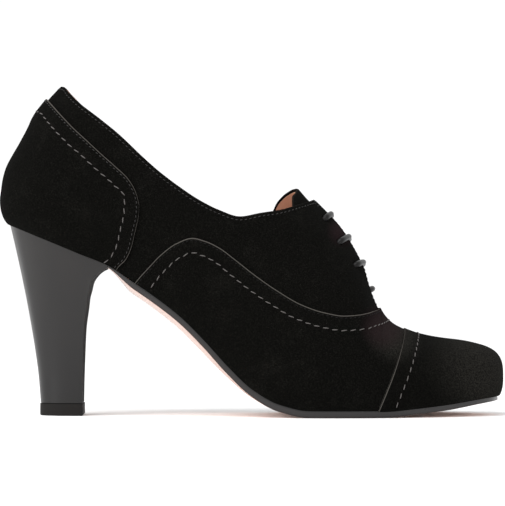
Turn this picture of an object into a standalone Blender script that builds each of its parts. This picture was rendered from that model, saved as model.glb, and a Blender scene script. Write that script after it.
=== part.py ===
"""A woman's laced court shoe on a high block heel, the right shoe of a pair.

Toe along +X, up along +Z, and the medial (inner) side along +Y.
The origin is the middle of the heel tip's worn face, on the floor.
Lengths are metres.

The upper's outer form is a skin of ribs. Each rib starts at the feather edge, where upper and sole meet,
swells out to the form's widest line, and rises over a superellipse to the crest, the form's ridge line.
The upper, its overlays, the tongue and the laces are all taken from this one form.
"""

import math

import bmesh
import bpy
import numpy as np
from mathutils import Vector

# Driving sizes of the whole shoe
SHOE_LENGTH = 0.231
BALL_WIDTH = 0.075
SEAT_HEIGHT = 0.0883
COLLAR_HEIGHT = 0.1500
INSTEP_HEIGHT = 0.1045
TOE_SPRING = 0.0060
SWELL = 0.0041
SWELL_HEIGHT = 0.0106
SWELL_START = 0.45

# Sizes of single pieces
GAP = 0.0003
SEAT_GAP = 0.0004
UPPER_WALL = 0.0018
OVERLAY_THICKNESS = 0.0008
TOE_CAP_THICKNESS = 0.0013
TONGUE_GAP = 0.0008
TONGUE_THICKNESS = 0.0016
TONGUE_HALF_WIDTH = 0.0255
TONGUE_FOOT_HALF_WIDTH = 0.0120
SOLE_THICKNESS = 0.0033
SOLE_MARGIN = 0.0003
SOLE_UPRIGHT = 0.0120
SHANK_CROWN = 0.0025
INSOLE_THICKNESS = 0.0022
HEEL_TIP_THICKNESS = 0.0055
HEEL_TIP_MARGIN = 0.0003
HEEL_FOOT_LENGTH = 0.0195
HEEL_FOOT_WIDTH = 0.0240
BREAST_HOLLOW = 0.0015
HEEL_FOOT_ROUND = 2.3
HEEL_TIP_CHAMFER = 0.0008
FACING_HALF_GAP = 0.0050
THROAT_ROUND = 0.0060
LACE_DIAMETER = 0.0027
EYELET_DIAMETER = 0.0035
LACE_LOOSENESS = 0.0004
LACE_DRIFT = 0.0120
LOWEST_LACE_LIFT = 0.0009

# Places along the shoe, as shares of its length from the counter's back
HEEL_FOOT_AT = 0.1215
BREAST_AT = 0.2165
HEEL_FAN_END = 0.320
HEEL_FAN_CENTRE = 0.200
FACING_TOP_AT = 0.605
FACING_CORNER_AT = (0.602, 0.613, 0.622)
THROAT_AT = 0.760
TOE_FAN_CENTRE = 0.8745
HEEL_FAN_EASE = 0.08
TOE_FAN_EASE = 0.05
TONGUE_FOOT_AT = 0.772

# The feather line's plan. Widths are shares of the ball width, to each side of the heel's centre line.
OUTLINE = (
    # along, lateral, medial
    (0.0180, 0.000, 0.000),
    (0.0260, 0.130, 0.130),
    (0.0450, 0.210, 0.210),
    (0.0800, 0.288, 0.288),
    (0.1300, 0.335, 0.335),
    (0.1900, 0.353, 0.345),
    (0.2500, 0.352, 0.318),
    (0.3200, 0.348, 0.283),
    (0.4000, 0.355, 0.268),
    (0.4800, 0.400, 0.305),
    (0.5500, 0.455, 0.375),
    (0.6200, 0.497, 0.452),
    (0.6800, 0.503, 0.497),
    (0.7400, 0.480, 0.515),
    (0.8000, 0.432, 0.505),
    (0.8600, 0.365, 0.472),
    (0.9100, 0.290, 0.418),
    (0.9470, 0.205, 0.345),
    (0.9730, 0.105, 0.255),
    (0.9850, 0.000, 0.160),
    (0.9880, -0.070, 0.070),
)

# The feather line's height: a share of the seat's rise over the forefoot, and a share of the toe spring
FEATHER = (
    # along, seat rise, toe spring
    (0.000, 1.018, 0.00),
    (0.018, 1.000, 0.00),
    (0.106, 0.900, 0.00),
    (0.157, 0.840, 0.00),
    (0.217, 0.773, 0.00),
    (0.263, 0.691, 0.00),
    (0.313, 0.598, 0.00),
    (0.363, 0.492, 0.00),
    (0.412, 0.360, 0.00),
    (0.456, 0.229, 0.00),
    (0.506, 0.104, 0.00),
    (0.556, 0.031, 0.00),
    (0.612, 0.000, 0.00),
    (0.755, 0.000, 0.00),
    (0.819, 0.000, 0.20),
    (0.883, 0.000, 0.47),
    (0.946, 0.000, 0.82),
    (1.000, 0.000, 1.05),
)

# How the form swells over the feather edge, and how square its sections are
SECTIONS = (
    # along, swell, height of the widest line, exponent
    (0.00, 1.00, 1.00, 1.42),
    (0.06, 0.95, 1.15, 1.53),
    (0.13, 0.75, 1.40, 1.75),
    (0.22, 0.60, 1.70, 1.95),
    (0.32, 0.80, 2.00, 2.05),
    (0.42, 1.00, 1.90, 2.10),
    (0.52, 0.95, 1.50, 2.10),
    (0.62, 0.80, 1.10, 2.10),
    (0.72, 0.75, 1.00, 2.15),
    (0.82, 0.60, 0.85, 2.35),
    (0.92, 0.45, 0.70, 3.00),
    (1.00, 0.35, 0.60, 4.00),
)

# The crest's height over the forefoot's sole, as a share of the instep's, and its shift to the medial side
CREST = (
    # along, height, shift
    (0.100, 1.572, 0.000),
    (0.200, 1.572, 0.000),
    (0.260, 1.590, 0.000),
    (0.320, 1.615, 0.000),
    (0.380, 1.620, 0.005),
    (0.430, 1.550, 0.010),
    (0.480, 1.410, 0.015),
    (0.530, 1.233, 0.020),
    (0.570, 1.101, 0.025),
    (0.600, 1.014, 0.028),
    (0.622, 0.956, 0.030),
    (0.645, 0.903, 0.033),
    (0.675, 0.829, 0.036),
    (0.695, 0.761, 0.038),
    (0.715, 0.678, 0.042),
    (0.723, 0.640, 0.044),
    (0.731, 0.572, 0.046),
    (0.745, 0.482, 0.050),
    (0.760, 0.416, 0.053),
    (0.778, 0.374, 0.056),
    (0.798, 0.349, 0.060),
    (0.835, 0.319, 0.066),
    (0.875, 0.301, 0.070),
    (0.920, 0.289, 0.072),
    (0.955, 0.279, 0.072),
    (1.000, 0.273, 0.070),
)

# How far the counter's back stands out from the plain form, as a share of the shoe's length
BACK_SHAPE = (
    # share of the collar's height, outward
    (0.590, 0.0000),
    (0.620, -0.0010),
    (0.680, -0.0022),
    (0.720, 0.0006),
    (0.757, 0.0022),
    (0.794, 0.0000),
    (0.831, -0.0018),
    (0.859, -0.0012),
    (0.885, 0.0010),
    (0.905, 0.0042),
    (0.925, 0.0058),
    (0.950, 0.0060),
    (1.000, 0.0062),
)

# The collar's top line, as shares of the collar's height at the back
COLLAR = (
    # along, height
    (0.000, 1.150),
    (0.114, 1.010),
    (0.126, 1.006),
    (0.137, 0.988),
    (0.157, 0.957),
    (0.197, 0.909),
    (0.237, 0.859),
    (0.277, 0.800),
    (0.317, 0.745),
    (0.357, 0.698),
    (0.396, 0.658),
    (0.436, 0.627),
    (0.476, 0.608),
    (0.516, 0.619),
    (0.556, 0.629),
    (0.596, 0.647),
    (0.616, 0.657),
    (0.626, 0.664),
    (0.634, 0.700),
    (0.650, 0.900),
    (1.000, 1.500),
)

# Half of the gap between the facings, as a share of its width at the top
FACING_GAP = (
    # along, half gap
    (0.620, 0.90),
    (0.660, 1.05),
    (0.700, 1.25),
    (0.730, 1.60),
    (0.760, 1.70),
)

# The vamp's top edge, seen from the side, as shares of the instep's height
VAMP_EDGE = (
    # along, height
    (0.262, 0.560),
    (0.277, 0.602),
    (0.297, 0.650),
    (0.321, 0.705),
    (0.352, 0.755),
    (0.383, 0.778),
    (0.408, 0.765),
    (0.438, 0.733),
    (0.464, 0.690),
    (0.506, 0.617),
    (0.548, 0.552),
    (0.596, 0.490),
    (0.640, 0.456),
    (0.680, 0.441),
    (0.710, 0.445),
    (0.735, 0.458),
    (0.750, 0.466),
    (0.757, 0.480),
    (0.770, 0.700),
    (1.000, 2.000),
)

# The counter's top edge runs forward along the first table, and its front edge down along the second
COUNTER_TOP = (
    # along, share of the collar's height
    (0.000, 1.150),
    (0.078, 0.988),
    (0.092, 0.968),
    (0.128, 0.908),
    (0.149, 0.874),
    (0.175, 0.837),
    (0.203, 0.797),
    (0.233, 0.756),
    (0.256, 0.722),
    (0.272, 0.680),
    (0.279, 0.640),
    (0.300, 0.400),
)
COUNTER_FRONT = (
    # share of the collar's height, place along
    (0.400, 0.222),
    (0.452, 0.237),
    (0.475, 0.252),
    (0.515, 0.264),
    (0.555, 0.270),
    (0.615, 0.278),
    (0.660, 0.279),
    (0.700, 0.276),
    (0.800, 0.262),
)

# The toe cap's seam: its place along the shoe at each share of the instep's height
CAP_SEAM = (
    # share of the instep's height, along
    (0.030, 0.7450),
    (0.100, 0.7585),
    (0.200, 0.7770),
    (0.300, 0.7925),
    (0.380, 0.8025),
    (0.600, 0.8120),
)

# The outsole's thickness and the bulge of its underside, as shares of their sizes
SOLE_SECTIONS = (
    # along, thickness, crown
    (0.200, 0.28, 0.30),
    (0.217, 0.30, 0.40),
    (0.245, 0.60, 0.80),
    (0.275, 0.78, 1.00),
    (0.400, 0.82, 1.00),
    (0.500, 0.93, 0.45),
    (0.570, 1.00, 0.12),
    (0.600, 1.00, 0.00),
    (0.755, 1.00, 0.00),
    (0.880, 0.92, 0.00),
    (1.000, 0.70, 0.00),
)

# The tongue's top edge, from its lateral side at -1 to its medial side at 1
TONGUE_TOP = (
    # across, place along
    (-1.00, 0.597),
    (-0.90, 0.586),
    (-0.70, 0.5875),
    (-0.48, 0.5950),
    (0.00, 0.6000),
    (0.23, 0.5954),
    (0.40, 0.5875),
    (0.52, 0.5795),
    (0.68, 0.5636),
    (0.80, 0.5476),
    (0.90, 0.5360),
    (1.00, 0.5330),
)

# How far the heel has narrowed to its foot at each level from the seat down
HEEL_TAPER = (
    # level, back, sides, breast
    (0.000, 0.000, 0.000, 0.00),
    (0.022, 0.031, 0.033, 0.02),
    (0.045, 0.062, 0.067, 0.25),
    (0.072, 0.099, 0.106, 0.43),
    (0.130, 0.177, 0.190, 0.64),
    (0.190, 0.255, 0.270, 0.715),
    (0.245, 0.325, 0.345, 0.79),
    (0.300, 0.393, 0.415, 0.82),
    (0.475, 0.594, 0.620, 0.93),
    (0.700, 0.815, 0.836, 0.97),
    (0.850, 0.930, 0.942, 0.99),
    (1.000, 1.000, 1.000, 1.00),
)
HEEL_LEVELS = (0.0, 0.022, 0.045, 0.072, 0.13, 0.19, 0.27, 0.36, 0.48, 0.62, 0.8, 1.0)

# Laced eyelet pairs from the top down, and the cord that comes out from under the facings at the foot
EYELETS = (
    # along, distance from the facing's edge
    (0.6435, 0.0113),
    (0.6720, 0.0165),
    (0.7035, 0.0165),
)
LOWEST_LACE_AT = 0.7360

# Stations of a lace bar between its eyelet and the crest, as shares of the way
LACE_STATIONS = (0.93, 0.80, 0.6, 0.4, 0.2)
CREST_STEP = 0.0005

# Colour and roughness of each material
SUEDE = ((0.010, 0.010, 0.009), 0.95)
TAN_LEATHER = ((0.45, 0.23, 0.13), 0.60)
LACQUER = ((0.062, 0.058, 0.055), 0.25)
RUBBER = ((0.030, 0.027, 0.026), 0.50)
BURNISHED_LEATHER = ((0.075, 0.068, 0.066), 0.35)
WAXED_CORD = ((0.045, 0.045, 0.043), 0.35)

# Resolution of the faceted solids
SIDE_RIBS = 36
RIB_SPACING = 1 / SIDE_RIBS
RIB_SAMPLES = 240
LOW_SAMPLES = 40
UPPER_ROWS = 12
TONGUE_COLUMNS = 14
TONGUE_ROWS = 10
BREAST_CELLS = 6
BEND_WEIGHT = 1.3
TOUCHING = 1e-5
TURN_STEP = 2e-4
PLACE_STEP = 2e-4
KEY_CLEARANCE = 0.35
SNAP = 0.0003

BACK_X = -HEEL_FOOT_AT * SHOE_LENGTH
FOREFOOT_TOP = SOLE_THICKNESS + SEAT_GAP


def along(share):
    """The X of a share of the shoe's length."""
    return BACK_X + share * SHOE_LENGTH


def share_of(x):
    """The share of the shoe's length at an X."""
    return (x - BACK_X) / SHOE_LENGTH


def smooth_table(places, values):
    """A smooth curve through a table's rows that never overshoots between them."""
    x = np.array(places, float)
    y = np.array(values, float)
    h = np.diff(x)
    slope = np.diff(y) / h
    m = np.zeros(len(x))
    m[0] = slope[0]
    m[-1] = slope[-1]
    for i in range(1, len(x) - 1):
        if slope[i - 1] * slope[i] > 0:
            before = 2 * h[i] + h[i - 1]
            after = h[i] + 2 * h[i - 1]
            m[i] = (before + after) / (before / slope[i - 1] + after / slope[i])

    def curve(at):
        at = np.clip(at, x[0], x[-1])
        i = np.clip(np.searchsorted(x, at, side="right") - 1, 0, len(h) - 1)
        t = (at - x[i]) / h[i]
        rise = h[i] * t * (1 - t) * ((1 - t) * m[i] - t * m[i + 1])
        return y[i] + (y[i + 1] - y[i]) * t * t * (3 - 2 * t) + rise

    return curve


def column_curve(table, column):
    """The smooth curve of one named column of a table against its first column."""
    return smooth_table([row[0] for row in table], [row[column] for row in table])


def closed_spline(values):
    """A smooth closed curve through values one step apart, with equal curvature on both sides of each."""
    y = np.array(values, float)
    count = len(y)
    system = np.eye(count) * 4 + np.roll(np.eye(count), 1, 0) + np.roll(np.eye(count), -1, 0)
    bend = np.linalg.solve(system, 6 * (np.roll(y, -1) - 2 * y + np.roll(y, 1)))

    def curve(at):
        at = np.mod(at, count)
        i = np.minimum(np.floor(at).astype(int), count - 1)
        j = (i + 1) % count
        t = at - i
        u = 1 - t
        return u * y[i] + t * y[j] + ((u**3 - u) * bend[i] + (t**3 - t) * bend[j]) / 6

    return curve


seat_rise = column_curve(FEATHER, 1)
toe_rise = column_curve(FEATHER, 2)
swell_share = column_curve(SECTIONS, 1)
swell_height_share = column_curve(SECTIONS, 2)
exponent_at = column_curve(SECTIONS, 3)
crest_share = column_curve(CREST, 1)
crest_shift_share = column_curve(CREST, 2)
back_share = column_curve(BACK_SHAPE, 1)
collar_share = column_curve(COLLAR, 1)
facing_gap_share = column_curve(FACING_GAP, 1)
vamp_share = column_curve(VAMP_EDGE, 1)
counter_top_share = column_curve(COUNTER_TOP, 1)
counter_front_share = column_curve(COUNTER_FRONT, 1)
cap_seam_share = column_curve(CAP_SEAM, 1)
tongue_top_share = column_curve(TONGUE_TOP, 1)
heel_back_share = column_curve(HEEL_TAPER, 1)
heel_side_share = column_curve(HEEL_TAPER, 2)
heel_breast_share = column_curve(HEEL_TAPER, 3)
sole_share = column_curve(SOLE_SECTIONS, 1)
crown_share = column_curve(SOLE_SECTIONS, 2)

LAST_ROW = len(OUTLINE) - 1
LOOP = [(row[0], -row[1]) for row in OUTLINE] + [(row[0], row[2]) for row in OUTLINE[-2:0:-1]]
loop_share = closed_spline([row[0] for row in LOOP])
loop_width = closed_spline([row[1] for row in LOOP])


def feather_z(x):
    """Height of the feather line."""
    share = share_of(x)
    rise = seat_rise(share) * (SEAT_HEIGHT - FOREFOOT_TOP)
    return FOREFOOT_TOP + rise + toe_rise(share) * TOE_SPRING


def crest_z(x):
    """Height of the form's ridge line."""
    return FOREFOOT_TOP + crest_share(share_of(x)) * (INSTEP_HEIGHT - FOREFOOT_TOP)


def crest_y(x):
    """Sideways place of the form's ridge line."""
    return crest_shift_share(share_of(x)) * BALL_WIDTH


def feather_point(turn):
    """Plan point of the feather line and the way out from it.

    turn is 0 at the heel's back, 1 at the toe tip by the lateral side, and 2 at the heel's back again."""
    step = TURN_STEP / 2
    row = turn * LAST_ROW
    x = along(loop_share(row))
    y = loop_width(row) * BALL_WIDTH
    dx = along(loop_share(row + step)) - along(loop_share(row - step))
    dy = (loop_width(row + step) - loop_width(row - step)) * BALL_WIDTH
    size = math.hypot(dx, dy)
    return float(x), float(y), float(dy / size), float(-dx / size)


def fan_weight(share):
    """1 in the heel and toe, where the ribs fan out, and 0 between, where they stand square to the length."""
    heel = np.clip((HEEL_FAN_END - share) / HEEL_FAN_EASE, 0, 1)
    toe = np.clip((share - THROAT_AT) / TOE_FAN_EASE, 0, 1)
    weight = np.maximum(heel, toe)
    return weight * weight * (3 - 2 * weight)


def drawn_in(way, longest, reach):
    """A way that starts at its own pace and slows so that the longest one ends at reach."""
    return way / (1 + way * (1 / reach - 1 / longest))


def crest_place(share):
    """Where along the shoe a rib that starts at this share meets the crest."""
    if share < HEEL_FAN_END:
        return HEEL_FAN_END - drawn_in(HEEL_FAN_END - share, HEEL_FAN_END, HEEL_FAN_END - HEEL_FAN_CENTRE)
    if share > THROAT_AT:
        return THROAT_AT + drawn_in(share - THROAT_AT, OUTLINE[-1][0] - THROAT_AT, TOE_FAN_CENTRE - THROAT_AT)
    return share


def rib_points(turn):
    """Points up one rib of the form, from the feather edge to the crest."""
    fx, fy, nx, ny = feather_point(turn)
    share = share_of(fx)
    swell = SWELL * swell_share(share)
    rise = SWELL_HEIGHT * swell_height_share(share)
    power = exponent_at(share)
    low = np.linspace(0, math.pi / 2, LOW_SAMPLES)
    out = swell * np.sin(low)
    lift = rise * (SWELL_START * low / low[-1] + (1 - SWELL_START) * (1 - np.cos(low)))
    nx = nx * fan_weight(share)
    base_z = feather_z(fx)
    lower = np.column_stack([fx + nx * out, fy + ny * out, base_z + lift])
    cx = along(crest_place(share))
    cy = crest_y(cx)
    wide_x, wide_y, wide_z = lower[-1]
    angle = np.linspace(0, math.pi / 2, RIB_SAMPLES - LOW_SAMPLES + 1)[1:]
    inward = np.cos(angle).clip(0) ** (2 / power)
    inward[-1] = 0
    up = np.sin(angle) ** (2 / power)
    x = cx + (wide_x - cx) * inward
    y = cy + (wide_y - cy) * inward
    z = wide_z + (crest_z(x) - wide_z) * up
    points = np.vstack([lower, np.column_stack([x, y, z])])
    if nx < 0:
        points[:, 0] -= nx * nx * back_share(points[:, 2] / COLLAR_HEIGHT) * SHOE_LENGTH
    return points


def unit(vectors):
    """The vectors at length 1."""
    return vectors / np.linalg.norm(vectors, axis=-1, keepdims=True)


def rib(turn):
    """Points up one rib and the way out of the form at each."""
    points = rib_points(turn)
    across = rib_points(turn + TURN_STEP) - rib_points(turn - TURN_STEP)
    upward = np.gradient(points, axis=0)
    outward = np.cross(across, upward)
    outward[-1] = outward[-2]
    outward = unit(outward)
    nx, ny = feather_point(turn)[2:]
    outward[0] = (nx, ny, 0)
    return points, outward


def form_point(x, y, lift):
    """A point that stands lift over the form at a plan place between the heel's and the toe's fans."""

    def height(px, py):
        share = share_of(px)
        turn = turn_at(share, py < crest_y(px))
        fx, fy, _, ny = feather_point(turn)
        wide_y = fy + ny * SWELL * swell_share(share)
        wide_z = feather_z(px) + SWELL_HEIGHT * swell_height_share(share)
        power = exponent_at(share)
        inward = min(abs((py - crest_y(px)) / (wide_y - crest_y(px))), 1)
        return wide_z + (crest_z(px) - wide_z) * (1 - inward**power) ** (1 / power)

    step = PLACE_STEP
    slope_x = (height(x + step, y) - height(x - step, y)) / (2 * step)
    slope_y = (height(x, y + step) - height(x, y - step)) / (2 * step)
    outward = Vector((-slope_x, -slope_y, 1)).normalized()
    return Vector((x, y, height(x, y))) + outward * lift, outward


def turn_at(share, lateral):
    """The turn at which the feather line reaches a share of the length on one side."""
    low, high = 0.0, 1.0
    for _ in range(40):
        middle = (low + high) / 2
        if loop_share(middle * LAST_ROW) < share:
            low = middle
        else:
            high = middle
    return low if lateral else 2 - low


def half_gap(x):
    """Half of the gap between the facings, closing in a round end at the throat."""
    width = FACING_HALF_GAP * facing_gap_share(share_of(x))
    left = np.clip((along(THROAT_AT) - x) / THROAT_ROUND, 0, 1)
    return width * np.sqrt(1 - (1 - left) ** 2)


def in_upper(points):
    """Positive where the form is covered by the upper, and negative over the collar and between the facings."""
    x, y, z = points.T
    below_collar = collar_share(share_of(x)) * COLLAR_HEIGHT - z
    beside_gap = np.abs(y - crest_y(x)) - half_gap(x)
    beside_gap = np.where(x < along(FACING_TOP_AT), below_collar, beside_gap)
    beyond_throat = x >= along(THROAT_AT) - TOUCHING
    return np.where(beyond_throat, 1.0, np.minimum(below_collar, beside_gap))


def in_vamp(points):
    """Positive below the vamp's top edge."""
    x, _, z = points.T
    return vamp_share(share_of(x)) * INSTEP_HEIGHT - z


def in_counter(points):
    """Positive on the counter, below its top edge and behind its front edge."""
    x, _, z = points.T
    below = counter_top_share(share_of(x)) * COLLAR_HEIGHT - z
    behind = along(counter_front_share(z / COLLAR_HEIGHT)) - x
    return np.minimum(below, behind)


def in_cap(points):
    """Positive in front of the toe cap's seam."""
    x, _, z = points.T
    return x - along(cap_seam_share(z / INSTEP_HEIGHT))


def in_vamp_panel(points):
    """Positive on the vamp, from its top edge forward to the toe cap."""
    return np.minimum(in_vamp(points), -in_cap(points) - GAP)


def crossing(values, start, rising):
    """The first place after start, as a sample number, where values rise or fall through zero."""
    signs = values > 0
    for i in range(start, len(values) - 1):
        if signs[i] != signs[i + 1] and signs[i + 1] == rising:
            return i + values[i] / (values[i] - values[i + 1])
    return None


def stretch(points, inside):
    """The first stretch of a rib that lies in a region, as a pair of sample numbers, or None."""
    values = inside(points)
    start = 0.0 if values[0] > 0 else crossing(values, 0, True)
    if start is None:
        return None
    end = crossing(values, int(start) + 1, False)
    return start, len(values) - 1.0 if end is None else end


def rib_rows(turn, inside, rows):
    """Points of a rib's stretch in a region, closer where it bends more, and the way out at each."""
    points, outward = rib(turn)
    start, end = stretch(points, inside)
    steps = np.linalg.norm(np.diff(points, axis=0), axis=1)
    length = np.concatenate([[0], np.cumsum(steps)])
    ways = np.diff(points, axis=0) / steps[:, None]
    bends = np.linalg.norm(np.diff(ways, axis=0), axis=1)
    bent = np.concatenate([[0, 0], np.cumsum(bends)])
    samples = np.arange(len(points))
    spread = BEND_WEIGHT * bent / bent[-1] + length / length[-1]
    lowest, highest = np.interp([start, end], samples, spread)
    at = np.interp(np.linspace(lowest, highest, rows + 1), spread, samples)
    place = np.column_stack([np.interp(at, samples, points[:, k]) for k in range(3)])
    out = unit(np.column_stack([np.interp(at, samples, outward[:, k]) for k in range(3)]))
    return place, out


def even_turns():
    """Turns of the ribs along one side, evenly spaced along the feather line, with one at each key place."""
    fine = np.linspace(0, 1, 801)
    places = np.array([feather_point(turn)[:2] for turn in fine])
    length = np.concatenate([[0], np.cumsum(np.linalg.norm(np.diff(places, axis=0), axis=1))])
    turns = np.interp(np.linspace(0, length[-1], SIDE_RIBS + 1), length, fine)
    keys = [turn_at(share, True) for share in (BREAST_AT, *FACING_CORNER_AT, THROAT_AT)]
    free = [turn for turn in turns if min(abs(turn - key) for key in keys) > KEY_CLEARANCE * RIB_SPACING]
    return sorted(free + keys)


SIDE_TURNS = even_turns()


def new_object(name, mesh, finish):
    """A named object for a mesh, with its own material in a colour and roughness."""
    colour, roughness = finish
    obj = bpy.data.objects.new(name, mesh)
    bpy.context.scene.collection.objects.link(obj)
    material = bpy.data.materials.new(name)
    material.use_nodes = True
    shader = material.node_tree.nodes["Principled BSDF"]
    shader.inputs["Base Color"].default_value = (*colour, 1)
    shader.inputs["Roughness"].default_value = roughness
    mesh.materials.append(material)
    return obj


def mesh_of(name, points, faces):
    """A closed mesh from points and faces, with touching points made one and its faces pointing out."""
    mesh = bpy.data.meshes.new(name)
    mesh.from_pydata([tuple(point) for point in points], [], faces)
    work = bmesh.new()
    work.from_mesh(mesh)
    bmesh.ops.remove_doubles(work, verts=work.verts, dist=TOUCHING)
    bmesh.ops.dissolve_degenerate(work, edges=work.edges, dist=TOUCHING)
    bmesh.ops.recalc_face_normals(work, faces=work.faces)
    work.to_mesh(mesh)
    work.free()
    mesh.shade_smooth()
    mesh.set_sharp_from_angle(angle=math.radians(35))
    return mesh


def grid_faces(columns, wrap):
    """Points of a grid of ribs, the way out at each, and its faces, with touching points made one.

    columns holds each rib's places and ways out. wrap joins the last column to the first."""
    places = np.array([place for place, _ in columns])
    outs = np.array([out for _, out in columns])
    count, rows = places.shape[:2]
    flat = places.reshape(-1, 3)
    apart = np.linalg.norm(flat[:, None] - flat[None], axis=2)
    _, first, one = np.unique((apart < TOUCHING).argmax(axis=1), return_index=True, return_inverse=True)
    one = one.reshape(count, rows)
    ways = np.zeros((len(first), 3))
    np.add.at(ways, one.ravel(), outs.reshape(-1, 3))
    faces = []
    for i in range(count if wrap else count - 1):
        k = (i + 1) % count
        for j in range(rows - 1):
            corners = [int(c) for c in (one[i, j], one[k, j], one[k, j + 1], one[i, j + 1])]
            for triangle in (corners[:3], [corners[0], corners[2], corners[3]]):
                if len(set(triangle)) == 3:
                    faces.append(triangle)
    return flat[first], unit(ways), faces


def thicken(places, ways, faces, inner, outer):
    """Points and faces of the wall between two offsets of a sheet."""
    total = len(places)
    points = np.vstack([places + ways * outer, places + ways * inner])
    walls = list(faces)
    edges = set()
    for face in faces:
        walls.append([c + total for c in reversed(face)])
        edges.update(zip(face, face[1:] + face[:1]))
    for a, b in sorted(edges):
        if (b, a) not in edges:
            walls.append([b, a, a + total, b + total])
    return points, walls


def clipped(places, ways, faces, inside):
    """The part of a sheet that lies in a region, cut along straight lines across its own faces."""
    values = inside(places)
    values = np.where(np.abs(values) < SNAP, 0, values)
    points = list(places)
    outs = list(ways)
    cuts = {}

    def cut(a, b):
        key = (min(a, b), max(a, b))
        if key not in cuts:
            steps = np.linspace(0, 1, 33)[:, None]
            line = places[key[0]] * (1 - steps) + places[key[1]] * steps
            at = crossing(inside(line), 0, values[key[1]] > 0)
            share = 0.5 if at is None else at / 32
            cuts[key] = len(points)
            points.append(places[key[0]] * (1 - share) + places[key[1]] * share)
            outs.append(unit(ways[key[0]] * (1 - share) + ways[key[1]] * share))
        return cuts[key]

    kept = []
    for face in faces:
        piece = []
        for n, a in enumerate(face):
            b = face[(n + 1) % len(face)]
            if values[a] >= 0:
                piece.append(a)
            if values[a] * values[b] < 0:
                piece.append(cut(a, b))
        if len(piece) > 2 and max(values[c] if c < len(values) else 0 for c in piece) > 0:
            kept.append(piece)
    used = sorted({c for face in kept for c in face})
    number = {c: n for n, c in enumerate(used)}
    kept = [[number[c] for c in face] for face in kept]
    return np.array([points[c] for c in used]), np.array([outs[c] for c in used]), kept


def loop_turns():
    """The turns of all ribs, from the heel's back along the lateral side and back along the medial side."""
    return list(SIDE_TURNS) + [2 - turn for turn in SIDE_TURNS[-2:0:-1]]


def eyelet(share, inset, side):
    """Middle of an eyelet on the form and the way out through it."""
    x = along(share)
    y = crest_y(x) + side * (half_gap(x) + inset)
    return form_point(x, y, 0)


def upper_sheet():
    """The form's skin where the upper covers it, as points, ways out and faces."""
    columns = [rib_rows(turn, in_upper, UPPER_ROWS) for turn in loop_turns()]
    return grid_faces(columns, True)


def make_upper():
    """The quarters and the vamp's lining as one wall, open at the collar, the throat and underneath."""
    points, faces = thicken(*upper_sheet(), -UPPER_WALL, 0)
    upper = new_object("upper", mesh_of("upper", points, faces), SUEDE)
    for side in (-1, 1):
        for share, inset in EYELETS:
            place, outward = eyelet(share, inset, side)
            bpy.ops.mesh.primitive_cylinder_add(
                vertices=14, radius=EYELET_DIAMETER / 2, depth=8 * UPPER_WALL, location=place
            )
            cutter = bpy.context.object
            cutter.rotation_euler = outward.to_track_quat("Z", "Y").to_euler()
            cutter.hide_render = True
            cutter.display_type = "WIRE"
            cut = upper.modifiers.new("eyelet", "BOOLEAN")
            cut.object = cutter
            cut.operation = "DIFFERENCE"
    return upper


def make_overlay(name, inside, thickness):
    """A panel that lies on the upper over one region of the form."""
    points, faces = thicken(*clipped(*upper_sheet(), inside), GAP, GAP + thickness)
    return new_object(name, mesh_of(name, points, faces), SUEDE)


def make_tongue():
    """The tongue under the facings, standing up past them, with its top corner turned to the medial side."""
    columns = []
    for across in np.linspace(-1, 1, TONGUE_COLUMNS + 1):
        top = along(tongue_top_share(across))
        foot = along(TONGUE_FOOT_AT)
        column = []
        for down in np.linspace(0, 1, TONGUE_ROWS + 1):
            x = top + (foot - top) * down
            half_width = TONGUE_HALF_WIDTH + (TONGUE_FOOT_HALF_WIDTH - TONGUE_HALF_WIDTH) * down
            place, outward = form_point(x, crest_y(x) + across * half_width, 0)
            column.append((place, outward))
        columns.append(([place for place, _ in column], [outward for _, outward in column]))
    top_face = -UPPER_WALL - TONGUE_GAP
    points, faces = thicken(*grid_faces(columns, False), top_face - TONGUE_THICKNESS, top_face)
    return new_object("tongue", mesh_of("tongue", points, faces), SUEDE)


def outline_pairs(start, inset):
    """Lateral and medial plan points of the feather line, drawn in by inset, from a share of the length on."""
    first = turn_at(start, True) if start > OUTLINE[0][0] else 0.0
    turns = [first] + [turn for turn in SIDE_TURNS if turn > first + KEY_CLEARANCE * RIB_SPACING]
    pairs = []
    for turn in turns:
        pair = []
        for one in (turn, 2 - turn):
            x, y, nx, ny = feather_point(one)
            pair.append((x - nx * inset, y - ny * inset))
        pairs.append(pair)
    return pairs


def deck(name, pairs, top, bottom, cells):
    """A closed sheet between two surfaces over the plan that the pairs of points bound."""
    points = []
    for left, right in pairs:
        for i in range(cells + 1):
            share = i / cells
            x = left[0] + (right[0] - left[0]) * share
            y = left[1] + (right[1] - left[1]) * share
            points.append(top(x, y, share))
            points.append(bottom(x, y, share))
    row = 2 * (cells + 1)
    faces = []
    for k in range(len(pairs) - 1):
        for i in range(cells):
            a = k * row + 2 * i
            faces.append([a, a + 2, a + row + 2, a + row])
            faces.append([a + 1, a + row + 1, a + row + 3, a + 3])
        a = k * row
        b = k * row + 2 * cells
        faces.append([a, a + row, a + row + 1, a + 1])
        faces.append([b, b + 1, b + row + 1, b + row])
    for k in (0, len(pairs) - 1):
        for i in range(cells):
            a = k * row + 2 * i
            faces.append([a, a + 1, a + 3, a + 2])
    return mesh_of(name, points, faces)


def make_insole():
    """The sock that lines the sole, inside the upper's wall."""
    pairs = outline_pairs(0, UPPER_WALL + GAP)

    def top(x, y, _):
        return x, y, feather_z(x) + INSOLE_THICKNESS

    def bottom(x, y, _):
        return x, y, feather_z(x)

    return new_object("insole", deck("insole", pairs, top, bottom, 2), TAN_LEATHER)


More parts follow.
